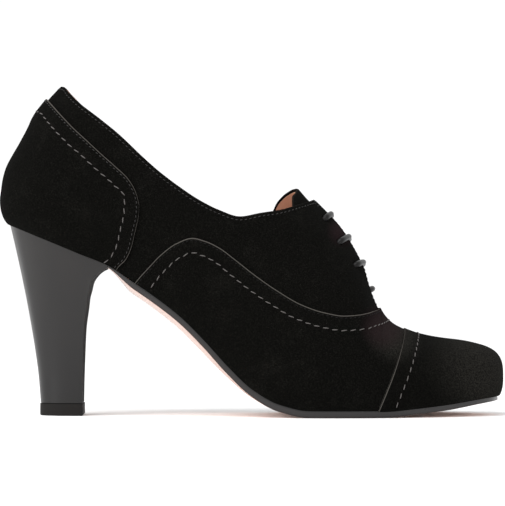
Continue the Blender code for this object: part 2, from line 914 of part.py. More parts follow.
def make_outsole():
    """The leather sole from the heel's breast to the toe, with its round underside at the shank."""
    pairs = outline_pairs(BREAST_AT, -SOLE_MARGIN)

    def top(x, y, _):
        return x, y, feather_z(x) - SEAT_GAP

    def bottom(x, y, across):
        step = PLACE_STEP / 2
        slope = (feather_z(x + step) - feather_z(x - step)) / (2 * step)
        size = math.hypot(1, slope)
        share = share_of(x)
        round_out = SHANK_CROWN * crown_share(share) * (1 - (2 * across - 1) ** 2)
        thick = SOLE_THICKNESS * sole_share(share) + round_out
        lean = min((x - along(BREAST_AT)) / SOLE_UPRIGHT, 1)
        return x + thick * slope / size * lean, y, feather_z(x) - SEAT_GAP - thick / size

    return new_object("outsole", deck("outsole", pairs, top, bottom, 6), BURNISHED_LEATHER)


def heel_ring(level):
    """One ring of the heel, from its top at level 0 to its foot at level 1.

    The ring starts in the middle of the back, and its sides and breast narrow at their own pace."""
    turns = [turn for turn in SIDE_TURNS if turn < turn_at(BREAST_AT, True) - KEY_CLEARANCE * RIB_SPACING]
    turns.append(turn_at(BREAST_AT, True))
    back_x = feather_point(0)[0]
    breast_x = along(BREAST_AT) - GAP
    foot_back = -HEEL_FOOT_LENGTH / 2
    foot_z = HEEL_TIP_THICKNESS + GAP
    sides = []
    for side in (0, 1):
        points = []
        for turn in turns:
            x, y, _, _ = feather_point(turn if side == 0 else 2 - turn)
            forward = (x - back_x) / (along(BREAST_AT) - back_x)
            x = back_x + forward * (breast_x - back_x)
            top_z = feather_z(x) - SEAT_GAP
            foot_x = foot_back + forward * HEEL_FOOT_LENGTH
            foot_y = HEEL_FOOT_WIDTH / 2 * (1 - (1 - forward) ** HEEL_FOOT_ROUND) ** (1 / HEEL_FOOT_ROUND)
            foot_y = math.copysign(foot_y, y)
            back_way = heel_back_share(level)
            breast_way = heel_breast_share(level)
            way_x = back_way + (breast_way - back_way) * forward**3
            way_y = heel_side_share(level)
            points.append(
                (
                    x + (foot_x - x) * way_x,
                    y + (foot_y - y) * way_y,
                    top_z + (foot_z - top_z) * level,
                )
            )
        sides.append(points)
    lateral, medial = sides
    breast = []
    for i in range(1, BREAST_CELLS):
        across = i / BREAST_CELLS
        hollow = BREAST_HOLLOW * 4 * across * (1 - across) * math.sin(math.pi * level)
        a = Vector(lateral[-1]).lerp(Vector(medial[-1]), across)
        breast.append((a.x - hollow, a.y, a.z))
    return lateral + breast + medial[:0:-1], len(lateral)


def make_heel():
    """The high heel, broad at the seat and tapering to its foot, with a hollow breast."""
    points = []
    rings = []
    for level in HEEL_LEVELS:
        ring, side_count = heel_ring(level)
        rings.append(range(len(points), len(points) + len(ring)))
        points += ring
    count = len(rings[0])
    faces = []
    for upper_ring, lower_ring in zip(rings, rings[1:]):
        for i in range(count):
            k = (i + 1) % count
            faces.append([upper_ring[i], upper_ring[k], lower_ring[k], lower_ring[i]])
    faces += seat_faces(side_count, count)
    faces.append(list(rings[-1]))
    return new_object("heel", mesh_of("heel", points, faces), LACQUER)


def seat_faces(side_count, count):
    """Faces across the heel's top, in strips from side to side."""
    faces = [[0, 1, count - 1]]
    for i in range(1, side_count - 2):
        faces.append([i, i + 1, count - i - 1, count - i])
    last = side_count - 2
    faces.append(list(range(last, count - last + 1)))
    return faces


def make_heel_tip():
    """The top piece under the heel, a little wider than the heel's foot and chamfered at the floor."""
    ring, _ = heel_ring(1)
    levels = (
        (HEEL_TIP_THICKNESS, HEEL_TIP_MARGIN),
        (HEEL_TIP_CHAMFER, HEEL_TIP_MARGIN),
        (0, HEEL_TIP_MARGIN - HEEL_TIP_CHAMFER),
    )
    points = []
    for z, margin in levels:
        for x, y, _ in ring:
            size_x = 1 + margin / (HEEL_FOOT_LENGTH / 2)
            size_y = 1 + margin / (HEEL_FOOT_WIDTH / 2)
            points.append((x * size_x, y * size_y, z))
    count = len(ring)
    faces = [list(range(count)), list(range(2 * count, 3 * count))]
    for k in range(2):
        for i in range(count):
            j = (i + 1) % count
            faces.append([k * count + i, k * count + j, (k + 1) * count + j, (k + 1) * count + i])
    return new_object("heel_tip", mesh_of("heel_tip", points, faces), RUBBER)


def over_crest(share, inset, across):
    """The plan place where a bar that is drawn straight over the crest passes a side place.

    The bar leaves its eyelet square to the crest line, so that it comes to the crest further down the instep.
    Its two halves start at their own eyelets' heights and meet at the mean of them."""
    x = along(share)
    side = math.copysign(half_gap(x) + inset, across)
    own, other = (form_point(x, crest_y(x) + hand * side, 0)[0].z for hand in (1, -1))
    start = (own + other) / 2 + (own - other) / 2 * across / side
    slope = (crest_z(x + CREST_STEP) - crest_z(x - CREST_STEP)) / (2 * CREST_STEP)
    low, high = x - LACE_DRIFT, x + LACE_DRIFT
    for _ in range(30):
        middle = (low + high) / 2
        height = form_point(middle, crest_y(middle) + across, 0)[0].z
        if middle - x + slope * (height - start) > 0:
            high = middle
        else:
            low = middle
    return low, crest_y(low) + across


def lace_route(share, inset):
    """The middle line of a lace bar, out of one eyelet, over the facings and into the other eyelet."""
    radius = LACE_DIAMETER / 2
    reach = half_gap(along(share)) + inset
    clear = radius + GAP
    route = []
    for side in (-1, 1):
        place, outward = eyelet(share, inset, side)
        half = [place - outward * (UPPER_WALL - radius / 5), place + outward * (clear / 3)]
        for inward in LACE_STATIONS:
            lift = clear + LACE_LOOSENESS * (1 - inward)
            half.append(form_point(*over_crest(share, inset, side * reach * inward), lift)[0])
        route.append(half)
    middle = form_point(*over_crest(share, inset, TOUCHING), clear + LACE_LOOSENESS)[0]
    return route[0] + [middle] + route[1][::-1]


def lowest_route():
    """The middle line of the lowest lace bar, which rises from the tongue between the facings' edges."""
    x = along(LOWEST_LACE_AT)
    foot = LACE_DIAMETER / 2 + GAP - UPPER_WALL - TONGUE_GAP
    reach = half_gap(x + LACE_DIAMETER) - LACE_DIAMETER - GAP
    route = []
    for across in np.linspace(-1, 1, 7):
        lift = foot + (LOWEST_LACE_LIFT - foot) * (1 - across**2)
        route.append(form_point(x, crest_y(x) + reach * across, lift)[0])
    return route


def smooth_route(route, steps):
    """Evenly spaced points on a smooth curve through a route's own points."""
    route = np.array([tuple(point) for point in route])
    length = np.concatenate([[0], np.cumsum(np.linalg.norm(np.diff(route, axis=0), axis=1))])
    curves = [smooth_table(length, route[:, k]) for k in range(3)]
    at = np.linspace(0, length[-1], steps + 1)
    return np.column_stack([curve(at) for curve in curves])


def make_lace_bar(number, route, steps):
    """One bar of the round waxed lace."""
    name = f"lace_bar_{number}"
    curve = bpy.data.curves.new(name, "CURVE")
    curve.dimensions = "3D"
    curve.bevel_depth = LACE_DIAMETER / 2
    curve.bevel_resolution = 2
    curve.use_fill_caps = True
    places = smooth_route(route, steps)
    spline = curve.splines.new("POLY")
    spline.points.add(len(places) - 1)
    for point, place in zip(spline.points, places):
        point.co = (*place, 1)
    return new_object(name, curve, WAXED_CORD)


def clear_scene():
    """Removes what a new file starts with."""
    for obj in list(bpy.data.objects):
        bpy.data.objects.remove(obj)


clear_scene()
make_upper()
make_overlay("vamp", in_vamp_panel, OVERLAY_THICKNESS)
make_overlay("toe_cap", in_cap, TOE_CAP_THICKNESS)
make_overlay("heel_counter", in_counter, OVERLAY_THICKNESS)
make_tongue()
make_insole()
make_outsole()
make_heel()
make_heel_tip()
for number, (share, inset) in enumerate(EYELETS, start=1):
    make_lace_bar(number, lace_route(share, inset), 18)
make_lace_bar(len(EYELETS) + 1, lowest_route(), 8)
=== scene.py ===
"""The looks of a woman's laced court shoe in black suede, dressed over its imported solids.

Toe along +X, up along +Z, and the medial (inner) side along +Y, in metres.
"""

import math

import bmesh
import bpy
import numpy as np
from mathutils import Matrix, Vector


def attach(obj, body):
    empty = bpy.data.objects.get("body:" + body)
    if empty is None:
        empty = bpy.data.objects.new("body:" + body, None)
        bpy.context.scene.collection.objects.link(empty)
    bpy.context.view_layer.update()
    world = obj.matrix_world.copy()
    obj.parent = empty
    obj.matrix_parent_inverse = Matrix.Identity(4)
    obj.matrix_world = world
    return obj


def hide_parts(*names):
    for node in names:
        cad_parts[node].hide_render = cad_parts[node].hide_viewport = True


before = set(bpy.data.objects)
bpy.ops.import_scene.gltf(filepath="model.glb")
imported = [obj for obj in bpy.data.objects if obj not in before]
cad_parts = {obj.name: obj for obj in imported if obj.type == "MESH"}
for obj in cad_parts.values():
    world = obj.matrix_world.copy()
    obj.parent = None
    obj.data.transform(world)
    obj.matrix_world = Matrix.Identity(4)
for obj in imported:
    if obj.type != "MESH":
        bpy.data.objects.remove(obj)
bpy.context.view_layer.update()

# The room: a plain white floor that curves up far behind, soft light from all round as in a tent,
# and one broad softbox above the heel. The camera looks level at the shoe's outer side from far off.
PHOTO_WIDTH = 505
PHOTO_HEIGHT = 506
FIELD_WIDTH = 0.2323
VIEW_CENTRE = (0.0876, 0.0745)
CAMERA_DISTANCE = 1.8
SENSOR = 36
WHITE = "#ffffff"
ROOM_HALF = 2.5
SWEEP_LIFTS = (0.3, 0.7, 1.2, 1.6)
SWEEP_RUN = 0.8


def linear_colour(code):
    """The linear colour of an sRGB hex value."""
    channels = [int(code[i : i + 2], 16) / 255 for i in (1, 3, 5)]
    return [c / 12.92 if c <= 0.04045 else ((c + 0.055) / 1.055) ** 2.4 for c in channels] + [1]


def add_node(material, kind, inputs=None, **settings):
    """Adds a node with its settings, each of its inputs fed by a socket or set to a value."""
    node = material.node_tree.nodes.new(kind)
    for name, setting in settings.items():
        setattr(node, name, setting)
    for name, source in (inputs or {}).items():
        if hasattr(source, "is_output"):
            material.node_tree.links.new(source, node.inputs[name])
        else:
            node.inputs[name].default_value = source
    return node


def new_material(name, roughness, specular=0.5, colour=None):
    """A material and its shader, in one plain colour where a colour is given."""
    material = bpy.data.materials.new(name)
    material.use_nodes = True
    shader = material.node_tree.nodes["Principled BSDF"]
    shader.inputs["Roughness"].default_value = roughness
    shader.inputs["Specular IOR Level"].default_value = specular
    if colour:
        shader.inputs["Base Color"].default_value = linear_colour(colour)
    return material, shader


bpy.ops.object.select_all(action="DESELECT")
bpy.ops.mesh.primitive_plane_add(size=2 * ROOM_HALF, location=(0, 0, 0))
floor = bpy.context.object
floor.name = "floor"
bpy.ops.object.mode_set(mode="EDIT")
bpy.ops.mesh.select_all(action="DESELECT")
bpy.ops.mesh.select_mode(type="EDGE")
bpy.ops.object.mode_set(mode="OBJECT")
for edge in floor.data.edges:
    edge.select = all(floor.data.vertices[i].co.y > 0 for i in edge.vertices)
bpy.ops.object.mode_set(mode="EDIT")
for lift in SWEEP_LIFTS:
    back = SWEEP_RUN / (1 + 2 * lift)
    bpy.ops.mesh.extrude_region_move(TRANSFORM_OT_translate={"value": (0, back, lift)})
bpy.ops.object.mode_set(mode="OBJECT")
bpy.ops.object.shade_smooth()
paper, _ = new_material("white paper sweep", 1, 0, WHITE)
floor.data.materials.append(paper)

world = bpy.data.worlds.new("light tent")
bpy.context.scene.world = world
world.use_nodes = True
world.node_tree.nodes["Background"].inputs["Color"].default_value = linear_colour(WHITE)
world.node_tree.nodes["Background"].inputs["Strength"].default_value = 1.0
bpy.context.scene.view_settings.view_transform = "Standard"


def softbox(name, place, aim, size, watts):
    """A square softbox at a place, turned to what it lights."""
    bpy.ops.object.light_add(type="AREA", location=place)
    light = bpy.context.object
    light.name = name
    light.data.shape = "RECTANGLE"
    light.data.size, light.data.size_y = size
    light.data.energy = watts
    light.rotation_euler = (Vector(aim) - Vector(place)).to_track_quat("-Z", "Y").to_euler()


softbox("softbox_above", (-0.35, -0.55, 1.1), (0.06, 0, 0.05), (0.9, 0.9), 9)
softbox("softbox_left", (-0.9, -0.7, 0.35), (0, 0, 0.05), (0.3, 0.8), 4)

bpy.ops.object.camera_add(location=(VIEW_CENTRE[0], -CAMERA_DISTANCE, VIEW_CENTRE[1]))
camera = bpy.context.object
camera.rotation_euler = (math.pi / 2, 0, 0)
camera.data.sensor_width = SENSOR
camera.data.sensor_fit = "HORIZONTAL" if PHOTO_WIDTH > PHOTO_HEIGHT else "VERTICAL"
camera.data.sensor_height = SENSOR
camera.data.lens = SENSOR * CAMERA_DISTANCE / (FIELD_WIDTH * PHOTO_HEIGHT / PHOTO_WIDTH)
camera.data.clip_end = 20
bpy.context.scene.camera = camera

# The upper's quarters: two sides of black split suede, cemented to a tan lining and drawn over the last
# until they took its form. Their edge is folded over at the collar and the facings, and sewn down.
SHOE_LENGTH = 0.231
BALL_WIDTH = 0.075
SEAT_HEIGHT = 0.0883
COLLAR_HEIGHT = 0.1500
INSTEP_HEIGHT = 0.1045
TOE_SPRING = 0.0060
SWELL = 0.0041
SWELL_HEIGHT = 0.0106
FOREFOOT_TOP = 0.0037
BACK_X = -0.1215 * SHOE_LENGTH
THROAT_AT = 0.760
FACING_TOP_AT = 0.605
FACING_HALF_GAP = 0.0050
THROAT_ROUND = 0.0060
HEEL_FAN_END = 0.320
HEEL_FAN_CENTRE = 0.200
TOE_FAN_CENTRE = 0.8745
HEEL_FAN_EASE = 0.08
TOE_FAN_EASE = 0.05
EVEN_RISE = 0.45
CURVED_RISE = 0.55
SUEDE_THICKNESS = 0.0012
LINING_THICKNESS = 0.0006
SIDE_COLUMNS = 230
SKIN_SAMPLES = 220
LOW_SAMPLES = 36
UPPER_ROWS = 62
EDGE_STEPS = (0, 0.00006, 0.00018, 0.00035, 0.0006, 0.0010)
TOUCHING = 1e-5
SHARP_ANGLE = math.radians(50)

# Plan of the feather line, where upper meets sole: place along, and the widths as shares of the ball's
OUTLINE = (
    # along, lateral, medial
    (0.0180, 0.000, 0.000),
    (0.0260, 0.130, 0.130),
    (0.0450, 0.210, 0.210),
    (0.0800, 0.288, 0.288),
    (0.1300, 0.335, 0.335),
    (0.1900, 0.353, 0.345),
    (0.2500, 0.352, 0.318),
    (0.3200, 0.348, 0.283),
    (0.4000, 0.355, 0.268),
    (0.4800, 0.400, 0.305),
    (0.5500, 0.455, 0.375),
    (0.6200, 0.497, 0.452),
    (0.6800, 0.503, 0.497),
    (0.7400, 0.480, 0.515),
    (0.8000, 0.432, 0.505),
    (0.8600, 0.365, 0.472),
    (0.9100, 0.290, 0.418),
    (0.9470, 0.205, 0.345),
    (0.9730, 0.105, 0.255),
    (0.9850, 0.000, 0.160),
    (0.9880, -0.070, 0.070),
)
FEATHER = (
    # along, share of the seat's rise, share of the toe spring
    (0.000, 1.018, 0.00),
    (0.018, 1.000, 0.00),
    (0.106, 0.900, 0.00),
    (0.157, 0.840, 0.00),
    (0.217, 0.773, 0.00),
    (0.263, 0.691, 0.00),
    (0.313, 0.598, 0.00),
    (0.363, 0.492, 0.00),
    (0.412, 0.360, 0.00),
    (0.456, 0.229, 0.00),
    (0.506, 0.104, 0.00),
    (0.556, 0.031, 0.00),
    (0.612, 0.000, 0.00),
    (0.755, 0.000, 0.00),
    (0.819, 0.000, 0.20),
    (0.883, 0.000, 0.47),
    (0.946, 0.000, 0.82),
    (1.000, 0.000, 1.05),
)
SECTIONS = (
    # along, swell, height of the widest line, roundness of the section
    (0.00, 1.00, 1.00, 1.42),
    (0.06, 0.95, 1.15, 1.53),
    (0.13, 0.75, 1.40, 1.75),
    (0.22, 0.60, 1.70, 1.95),
    (0.32, 0.80, 2.00, 2.05),
    (0.42, 1.00, 1.90, 2.10),
    (0.52, 0.95, 1.50, 2.10),
    (0.62, 0.80, 1.10, 2.10),
    (0.72, 0.75, 1.00, 2.15),
    (0.82, 0.60, 0.85, 2.35),
    (0.92, 0.45, 0.70, 3.00),
    (1.00, 0.35, 0.60, 4.00),
)
CREST = (
    # along, height, shift to the medial side
    (0.100, 1.572, 0.000),
    (0.200, 1.572, 0.000),
    (0.260, 1.590, 0.000),
    (0.320, 1.615, 0.000),
    (0.380, 1.620, 0.005),
    (0.430, 1.550, 0.010),
    (0.480, 1.410, 0.015),
    (0.530, 1.233, 0.020),
    (0.570, 1.101, 0.025),
    (0.600, 1.014, 0.028),
    (0.622, 0.956, 0.030),
    (0.645, 0.903, 0.033),
    (0.675, 0.829, 0.036),
    (0.695, 0.761, 0.038),
    (0.715, 0.678, 0.042),
    (0.723, 0.640, 0.044),
    (0.731, 0.572, 0.046),
    (0.745, 0.482, 0.050),
    (0.760, 0.416, 0.053),
    (0.778, 0.374, 0.056),
    (0.798, 0.349, 0.060),
    (0.835, 0.319, 0.066),
    (0.875, 0.301, 0.070),
    (0.920, 0.289, 0.072),
    (0.955, 0.279, 0.072),
    (1.000, 0.273, 0.070),
)
BACK_SHAPE = (
    # share of the collar's height, outward as a share of the length
    (0.590, 0.0000),
    (0.620, -0.0010),
    (0.680, -0.0022),
    (0.720, 0.0006),
    (0.757, 0.0022),
    (0.794, 0.0000),
    (0.831, -0.0018),
    (0.859, -0.0012),
    (0.885, 0.0010),
    (0.905, 0.0042),
    (0.925, 0.0058),
    (0.950, 0.0060),
    (1.000, 0.0062),
)
COLLAR = (
    # along, share of the collar's height
    (0.000, 1.150),
    (0.114, 1.010),
    (0.126, 1.006),
    (0.137, 0.988),
    (0.157, 0.957),
    (0.197, 0.909),
    (0.237, 0.859),
    (0.277, 0.800),
    (0.317, 0.745),
    (0.357, 0.698),
    (0.396, 0.658),
    (0.436, 0.627),
    (0.476, 0.608),
    (0.516, 0.619),
    (0.556, 0.629),
    (0.596, 0.647),
    (0.616, 0.657),
    (0.626, 0.664),
    (0.634, 0.700),
    (0.650, 0.900),
    (1.000, 1.500),
)
FACING_GAP = (
    # along, share of the gap at the top
    (0.620, 0.90),
    (0.660, 1.05),
    (0.700, 1.25),
    (0.730, 1.60),
    (0.760, 1.70),
)


def along(share):
    """The X of a share of the shoe's length."""
    return BACK_X + share * SHOE_LENGTH


def share_of(x):
    """The share of the shoe's length at an X."""
    return (x - BACK_X) / SHOE_LENGTH


def smooth_curve(table, column=1):
    """A smooth curve through one column of a table that never overshoots between its rows."""
    x = np.array([row[0] for row in table], float)
    y = np.array([row[column] for row in table], float)
    h = np.diff(x)
    slope = np.diff(y) / h
    m = np.concatenate([[slope[0]], np.zeros(len(x) - 2), [slope[-1]]])
    for i in range(1, len(x) - 1):
        if slope[i - 1] * slope[i] > 0:
            before, after = 2 * h[i] + h[i - 1], h[i] + 2 * h[i - 1]
            m[i] = (before + after) / (before / slope[i - 1] + after / slope[i])

    def curve(at):
        at = np.clip(at, x[0], x[-1])
        i = np.clip(np.searchsorted(x, at, side="right") - 1, 0, len(h) - 1)
        t = (at - x[i]) / h[i]
        bow = h[i] * t * (1 - t) * ((1 - t) * m[i] - t * m[i + 1])
        return y[i] + (y[i + 1] - y[i]) * t * t * (3 - 2 * t) + bow

    return curve


def closed_curve(values):
    """A smooth closed curve through values one step apart."""
    y = np.array(values, float)
    count = len(y)
    system = np.eye(count) * 4 + np.roll(np.eye(count), 1, 0) + np.roll(np.eye(count), -1, 0)
    bend = np.linalg.solve(system, 6 * (np.roll(y, -1) - 2 * y + np.roll(y, 1)))

    def curve(at):
        at = np.mod(at, count)
        i = np.minimum(np.floor(at).astype(int), count - 1)
        j = (i + 1) % count
        t = at - i
        u = 1 - t
        return u * y[i] + t * y[j] + ((u**3 - u) * bend[i] + (t**3 - t) * bend[j]) / 6

    return curve


seat_rise = smooth_curve(FEATHER, 1)
toe_rise = smooth_curve(FEATHER, 2)
swell_share = smooth_curve(SECTIONS, 1)
swell_height_share = smooth_curve(SECTIONS, 2)
roundness = smooth_curve(SECTIONS, 3)
crest_share = smooth_curve(CREST, 1)
crest_shift = smooth_curve(CREST, 2)
back_shape = smooth_curve(BACK_SHAPE)
collar_share = smooth_curve(COLLAR)
facing_gap = smooth_curve(FACING_GAP)
LOOP = [(row[0], -row[1]) for row in OUTLINE] + [(row[0], row[2]) for row in OUTLINE[-2:0:-1]]
LAST_ROW = len(OUTLINE) - 1
loop_share = closed_curve([row[0] for row in LOOP])
loop_width = closed_curve([row[1] for row in LOOP])


def feather_z(x):
    """Height of the feather line."""
    share = share_of(x)
    return FOREFOOT_TOP + seat_rise(share) * (SEAT_HEIGHT - FOREFOOT_TOP) + toe_rise(share) * TOE_SPRING


def crest_z(x):
    """Height of the form's ridge line."""
    return FOREFOOT_TOP + crest_share(share_of(x)) * (INSTEP_HEIGHT - FOREFOOT_TOP)


def crest_y(x):
    """Sideways place of the form's ridge line."""
    return crest_shift(share_of(x)) * BALL_WIDTH


def half_gap(x):
    """Half of the gap between the facings, with a round end at the throat."""
    left = np.clip((along(THROAT_AT) - x) / THROAT_ROUND, 0, 1)
    return FACING_HALF_GAP * facing_gap(share_of(x)) * np.sqrt(1 - (1 - left) ** 2)


def feather_points(turns):
    """Plan points of the feather line and the ways out from it: turn 0 is the back, and 1 the toe tip."""
    row = np.asarray(turns, float) * LAST_ROW
    step = 1e-4
    x = along(loop_share(row))
    y = loop_width(row) * BALL_WIDTH
    dx = along(loop_share(row + step)) - along(loop_share(row - step))
    dy = (loop_width(row + step) - loop_width(row - step)) * BALL_WIDTH
    size = np.hypot(dx, dy)
    return x, y, dy / size, -dx / size


def unit(vectors):
    """The vectors at length 1."""
    return vectors / np.maximum(np.linalg.norm(vectors, axis=-1, keepdims=True), 1e-12)


def drawn_in(way, longest, reach):
    """A way that starts at its own pace and slows so that the longest one ends at reach."""
    return way / (1 + way * (1 / reach - 1 / longest))


def skin_points(turns):
    """Points up the form's ribs, one rib for each turn, from the feather line to the crest."""
    fx, fy, nx, ny = (v[:, None] for v in feather_points(turns))
    share = share_of(fx)
    heel_fan = np.clip((HEEL_FAN_END - share) / HEEL_FAN_EASE, 0, 1)
    toe_fan = np.clip((share - THROAT_AT) / TOE_FAN_EASE, 0, 1)
    fan = np.maximum(heel_fan, toe_fan)
    nx = nx * fan * fan * (3 - 2 * fan)
    low = np.linspace(0, math.pi / 2, LOW_SAMPLES)[None]
    out = SWELL * swell_share(share) * np.sin(low)
    rise = SWELL_HEIGHT * swell_height_share(share)
    z = feather_z(fx) + rise * (EVEN_RISE * low / low[0, -1] + CURVED_RISE * (1 - np.cos(low)))
    lower = np.stack([fx + nx * out, fy + ny * out, z], axis=2)
    wide_x, wide_y, wide_z = (lower[:, -1:, k] for k in range(3))
    to_heel = np.maximum(HEEL_FAN_END - share, 0)
    to_toe = np.maximum(share - THROAT_AT, 0)
    centre = np.clip(share, HEEL_FAN_END, THROAT_AT)
    centre = centre - drawn_in(to_heel, HEEL_FAN_END, HEEL_FAN_END - HEEL_FAN_CENTRE)
    centre = centre + drawn_in(to_toe, OUTLINE[-1][0] - THROAT_AT, TOE_FAN_CENTRE - THROAT_AT)
    cx = along(centre)
    cy = crest_y(cx)
    angle = np.linspace(0, math.pi / 2, SKIN_SAMPLES - LOW_SAMPLES + 1)[None, 1:]
    power = roundness(share)
    inward = np.cos(angle).clip(0) ** (2 / power)
    inward[:, -1] = 0
    up = np.sin(angle) ** (2 / power)
    x = cx + (wide_x - cx) * inward
    y = cy + (wide_y - cy) * inward
    upper = np.stack([x, y, wide_z + (crest_z(x) - wide_z) * up], axis=2)
    points = np.concatenate([lower, upper], axis=1)
    points[..., 0] -= np.minimum(nx, 0) ** 2 * back_shape(points[..., 2] / COLLAR_HEIGHT) * SHOE_LENGTH
    return points


def skin(turns):
    """Points up the form's ribs, and the way out of the form at each."""
    points = skin_points(turns)
    step = 2e-4
    across = skin_points(turns + step) - skin_points(turns - step)
    outs = np.cross(across, np.gradient(points, axis=1))
    outs[:, -1] = outs[:, -2]
    outs = unit(outs)
    _, _, nx, ny = feather_points(turns)
    outs[:, 0] = np.stack([nx, ny, 0 * nx], axis=1)
    return points, outs


def crossing(values, start, rising):
    """The first place after start, as a sample number, where values rise or fall through zero."""
    signs = values > 0
    found = np.nonzero((signs[start:-1] != signs[start + 1 :]) & (signs[start + 1 :] == rising))[0]
    if len(found) == 0:
        return None
    i = start + found[0]
    return i + values[i] / (values[i] - values[i + 1])


def stretch(values):
    """The first stretch of a rib where values are positive, as a pair of sample numbers, or None."""
    start = 0.0 if values[0] > 0 else crossing(values, 0, True)
    if start is None:
        return None
    end = crossing(values, math.ceil(start), False)
    return start, len(values) - 1.0 if end is None else end


def lengths(line):
    """The length along a line up to each of its points."""
    return np.concatenate([[0], np.cumsum(np.linalg.norm(np.diff(line, axis=0), axis=1))])


def sampled(at, samples, rows):
    """Rows of numbers, one at each sample, read at places between the samples."""
    return np.stack([np.interp(at, samples, column) for column in rows.T], axis=-1)


def rows_on(turns, inside, rows):
    """A grid of points over the ribs' stretches in a region, rows closer at its edges.

    Gives the points, the ways out, and how far each point is from the region's edge along its rib."""
    points, outs = skin(turns)
    places, ways, edge = [], [], []
    samples = np.arange(points.shape[1])
    steps = np.array(EDGE_STEPS)
    for rib, out, value in zip(points, outs, inside(points)):
        start, end = stretch(value) or (0, 0)
        length = lengths(rib)
        low, high = np.interp([start, end], samples, length)
        room = min(1, (high - low) / (3 * steps[-1]))
        foot = low + steps * room
        head = high - steps[::-1] * room
        at = np.concatenate([foot, np.linspace(foot[-1], head[0], rows)[1:-1], head])
        sample = np.interp(at, length, samples)
        places.append(sampled(sample, samples, rib))
        ways.append(sampled(sample, samples, out))
        below = at - low + (start == 0)
        above = high - at + (end >= samples[-1])
        edge.append(np.minimum(below, above))
    return np.array(places), unit(np.array(ways)), np.array(edge)


def rounding(distance, radius):
    """How far a round edge of this radius has dropped at a distance from the edge."""
    left = radius - np.minimum(distance, radius)
    return radius - np.sqrt(np.maximum(radius**2 - left**2, 0))


def made_piece(name, mesh, material, node=None):
    """The object for a mesh with its material. One that replaces a node keeps its sharp edges."""
    mesh.shade_smooth()
    mesh.materials.append(material)
    piece = bpy.data.objects.new(name, mesh)
    bpy.context.scene.collection.objects.link(piece)
    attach(piece, "root")
    if node:
        mesh.set_sharp_from_angle(angle=SHARP_ANGLE)
        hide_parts(node)
    return piece


def wall_mesh(name, places, ways, outer, inner, wrap=False, marks=None):
    """A closed wall over a grid of points, between lifts outer and inner. Touching points are made one.

    wrap joins the last column to the first. marks are numbers at the grid's points for a material."""
    count, rows = places.shape[:2]
    work = bmesh.new()
    for place in places.reshape(-1, 3):
        work.verts.new(place)
    work.verts.index_update()
    one = np.arange(count * rows)
    for vert, target in bmesh.ops.find_doubles(work, verts=work.verts, dist=TOUCHING)["targetmap"].items():
        one[vert.index] = target.index
    work.free()
    kept, number = np.unique(one, return_inverse=True)
    share = 1 / np.bincount(number)

    def merged(values):
        return np.bincount(number, np.broadcast_to(values, (count, rows)).reshape(-1)) * share

    base = np.stack([merged(places[..., k]) for k in range(3)], axis=1)
    way = unit(np.stack([merged(ways[..., k]) for k in range(3)], axis=1))
    points = np.concatenate([base + way * merged(lift)[:, None] for lift in (outer, inner)])
    grid = number.reshape(count, rows)
    ahead = np.roll(grid, -1, axis=0)
    if not wrap:
        grid, ahead = grid[:-1], ahead[:-1]
    corners = [grid[:, :-1], ahead[:, :-1], ahead[:, 1:], grid[:, 1:]]
    faces = [list(dict.fromkeys(face)) for face in np.stack(corners, axis=-1).reshape(-1, 4).tolist()]
    faces = [face for face in faces if len(face) > 2]
    edges = {edge for face in faces for edge in zip(face, face[1:] + face[:1])}
    total = len(kept)
    walls = [[b, a, a + total, b + total] for a, b in sorted(edges) if (b, a) not in edges]
    lining = [[c + total for c in face[::-1]] for face in faces]
    mesh = bpy.data.meshes.new(name)
    mesh.from_pydata(points.tolist(), [], faces + lining + walls)
    for label, values in (marks or {}).items():
        layer = mesh.attributes.new(label, "FLOAT", "POINT")
        layer.data.foreach_set("value", np.tile(merged(values), 2).astype(np.float32))
    return mesh


def inset(curve, at, scale, value, depth, base=SHOE_LENGTH):
    """How far a value is below the scaled curve over a base length, square to it, less a depth."""
    step = 0.002
    slope = (curve(at + step) - curve(at - step)) * scale / (2 * step * base)
    return (curve(at) * scale - value) / np.hypot(1, slope) - depth


def in_upper(points, depth=0):
    """Positive where the upper covers the form, by more than a depth from the collar and the facings."""
    x, y, z = np.moveaxis(points, -1, 0)
    below_collar = inset(collar_share, share_of(x), COLLAR_HEIGHT, z, depth)
    beside_gap = np.abs(y - crest_y(x)) - half_gap(x) - depth
    beside_gap = np.where(x < along(FACING_TOP_AT), below_collar, beside_gap)
    return np.where(x >= along(THROAT_AT) - TOUCHING, 1.0, np.minimum(below_collar, beside_gap))


fine_turns = np.linspace(0, 1, 4001)
fine_shares = loop_share(fine_turns * LAST_ROW)


def form_height(x, y):
    """Height of the form at plan places between the heel's and the toe's fans."""
    share = share_of(x)
    turn = np.interp(share, fine_shares, fine_turns)
    turn = np.where(y < crest_y(x), turn, 2 - turn)
    _, fy, _, ny = feather_points(turn)
    wide_y = fy + ny * SWELL * swell_share(share)
    wide_z = feather_z(x) + SWELL_HEIGHT * swell_height_share(share)
    power = roundness(share)
    inward = np.minimum(np.abs((y - crest_y(x)) / (wide_y - crest_y(x))), 1)
    return wide_z + (crest_z(x) - wide_z) * (1 - inward**power) ** (1 / power)


def on_form(x, y):
    """Points on the form at plan places, and the ways out there."""
    step = 2e-4
    slope_x = (form_height(x + step, y) - form_height(x - step, y)) / (2 * step)
    slope_y = (form_height(x, y + step) - form_height(x, y - step)) / (2 * step)
    way = unit(np.stack([-slope_x, -slope_y, 1 + 0 * x], axis=-1))
    return np.stack([x, y, form_height(x, y)], axis=-1), way


def spot(x, y, lift):
    """One point a lift over the form at a plan place, and the way out there."""
    point, way = on_form(np.array([x]), np.array([y]))
    return Vector(point[0] + way[0] * lift), Vector(way[0])


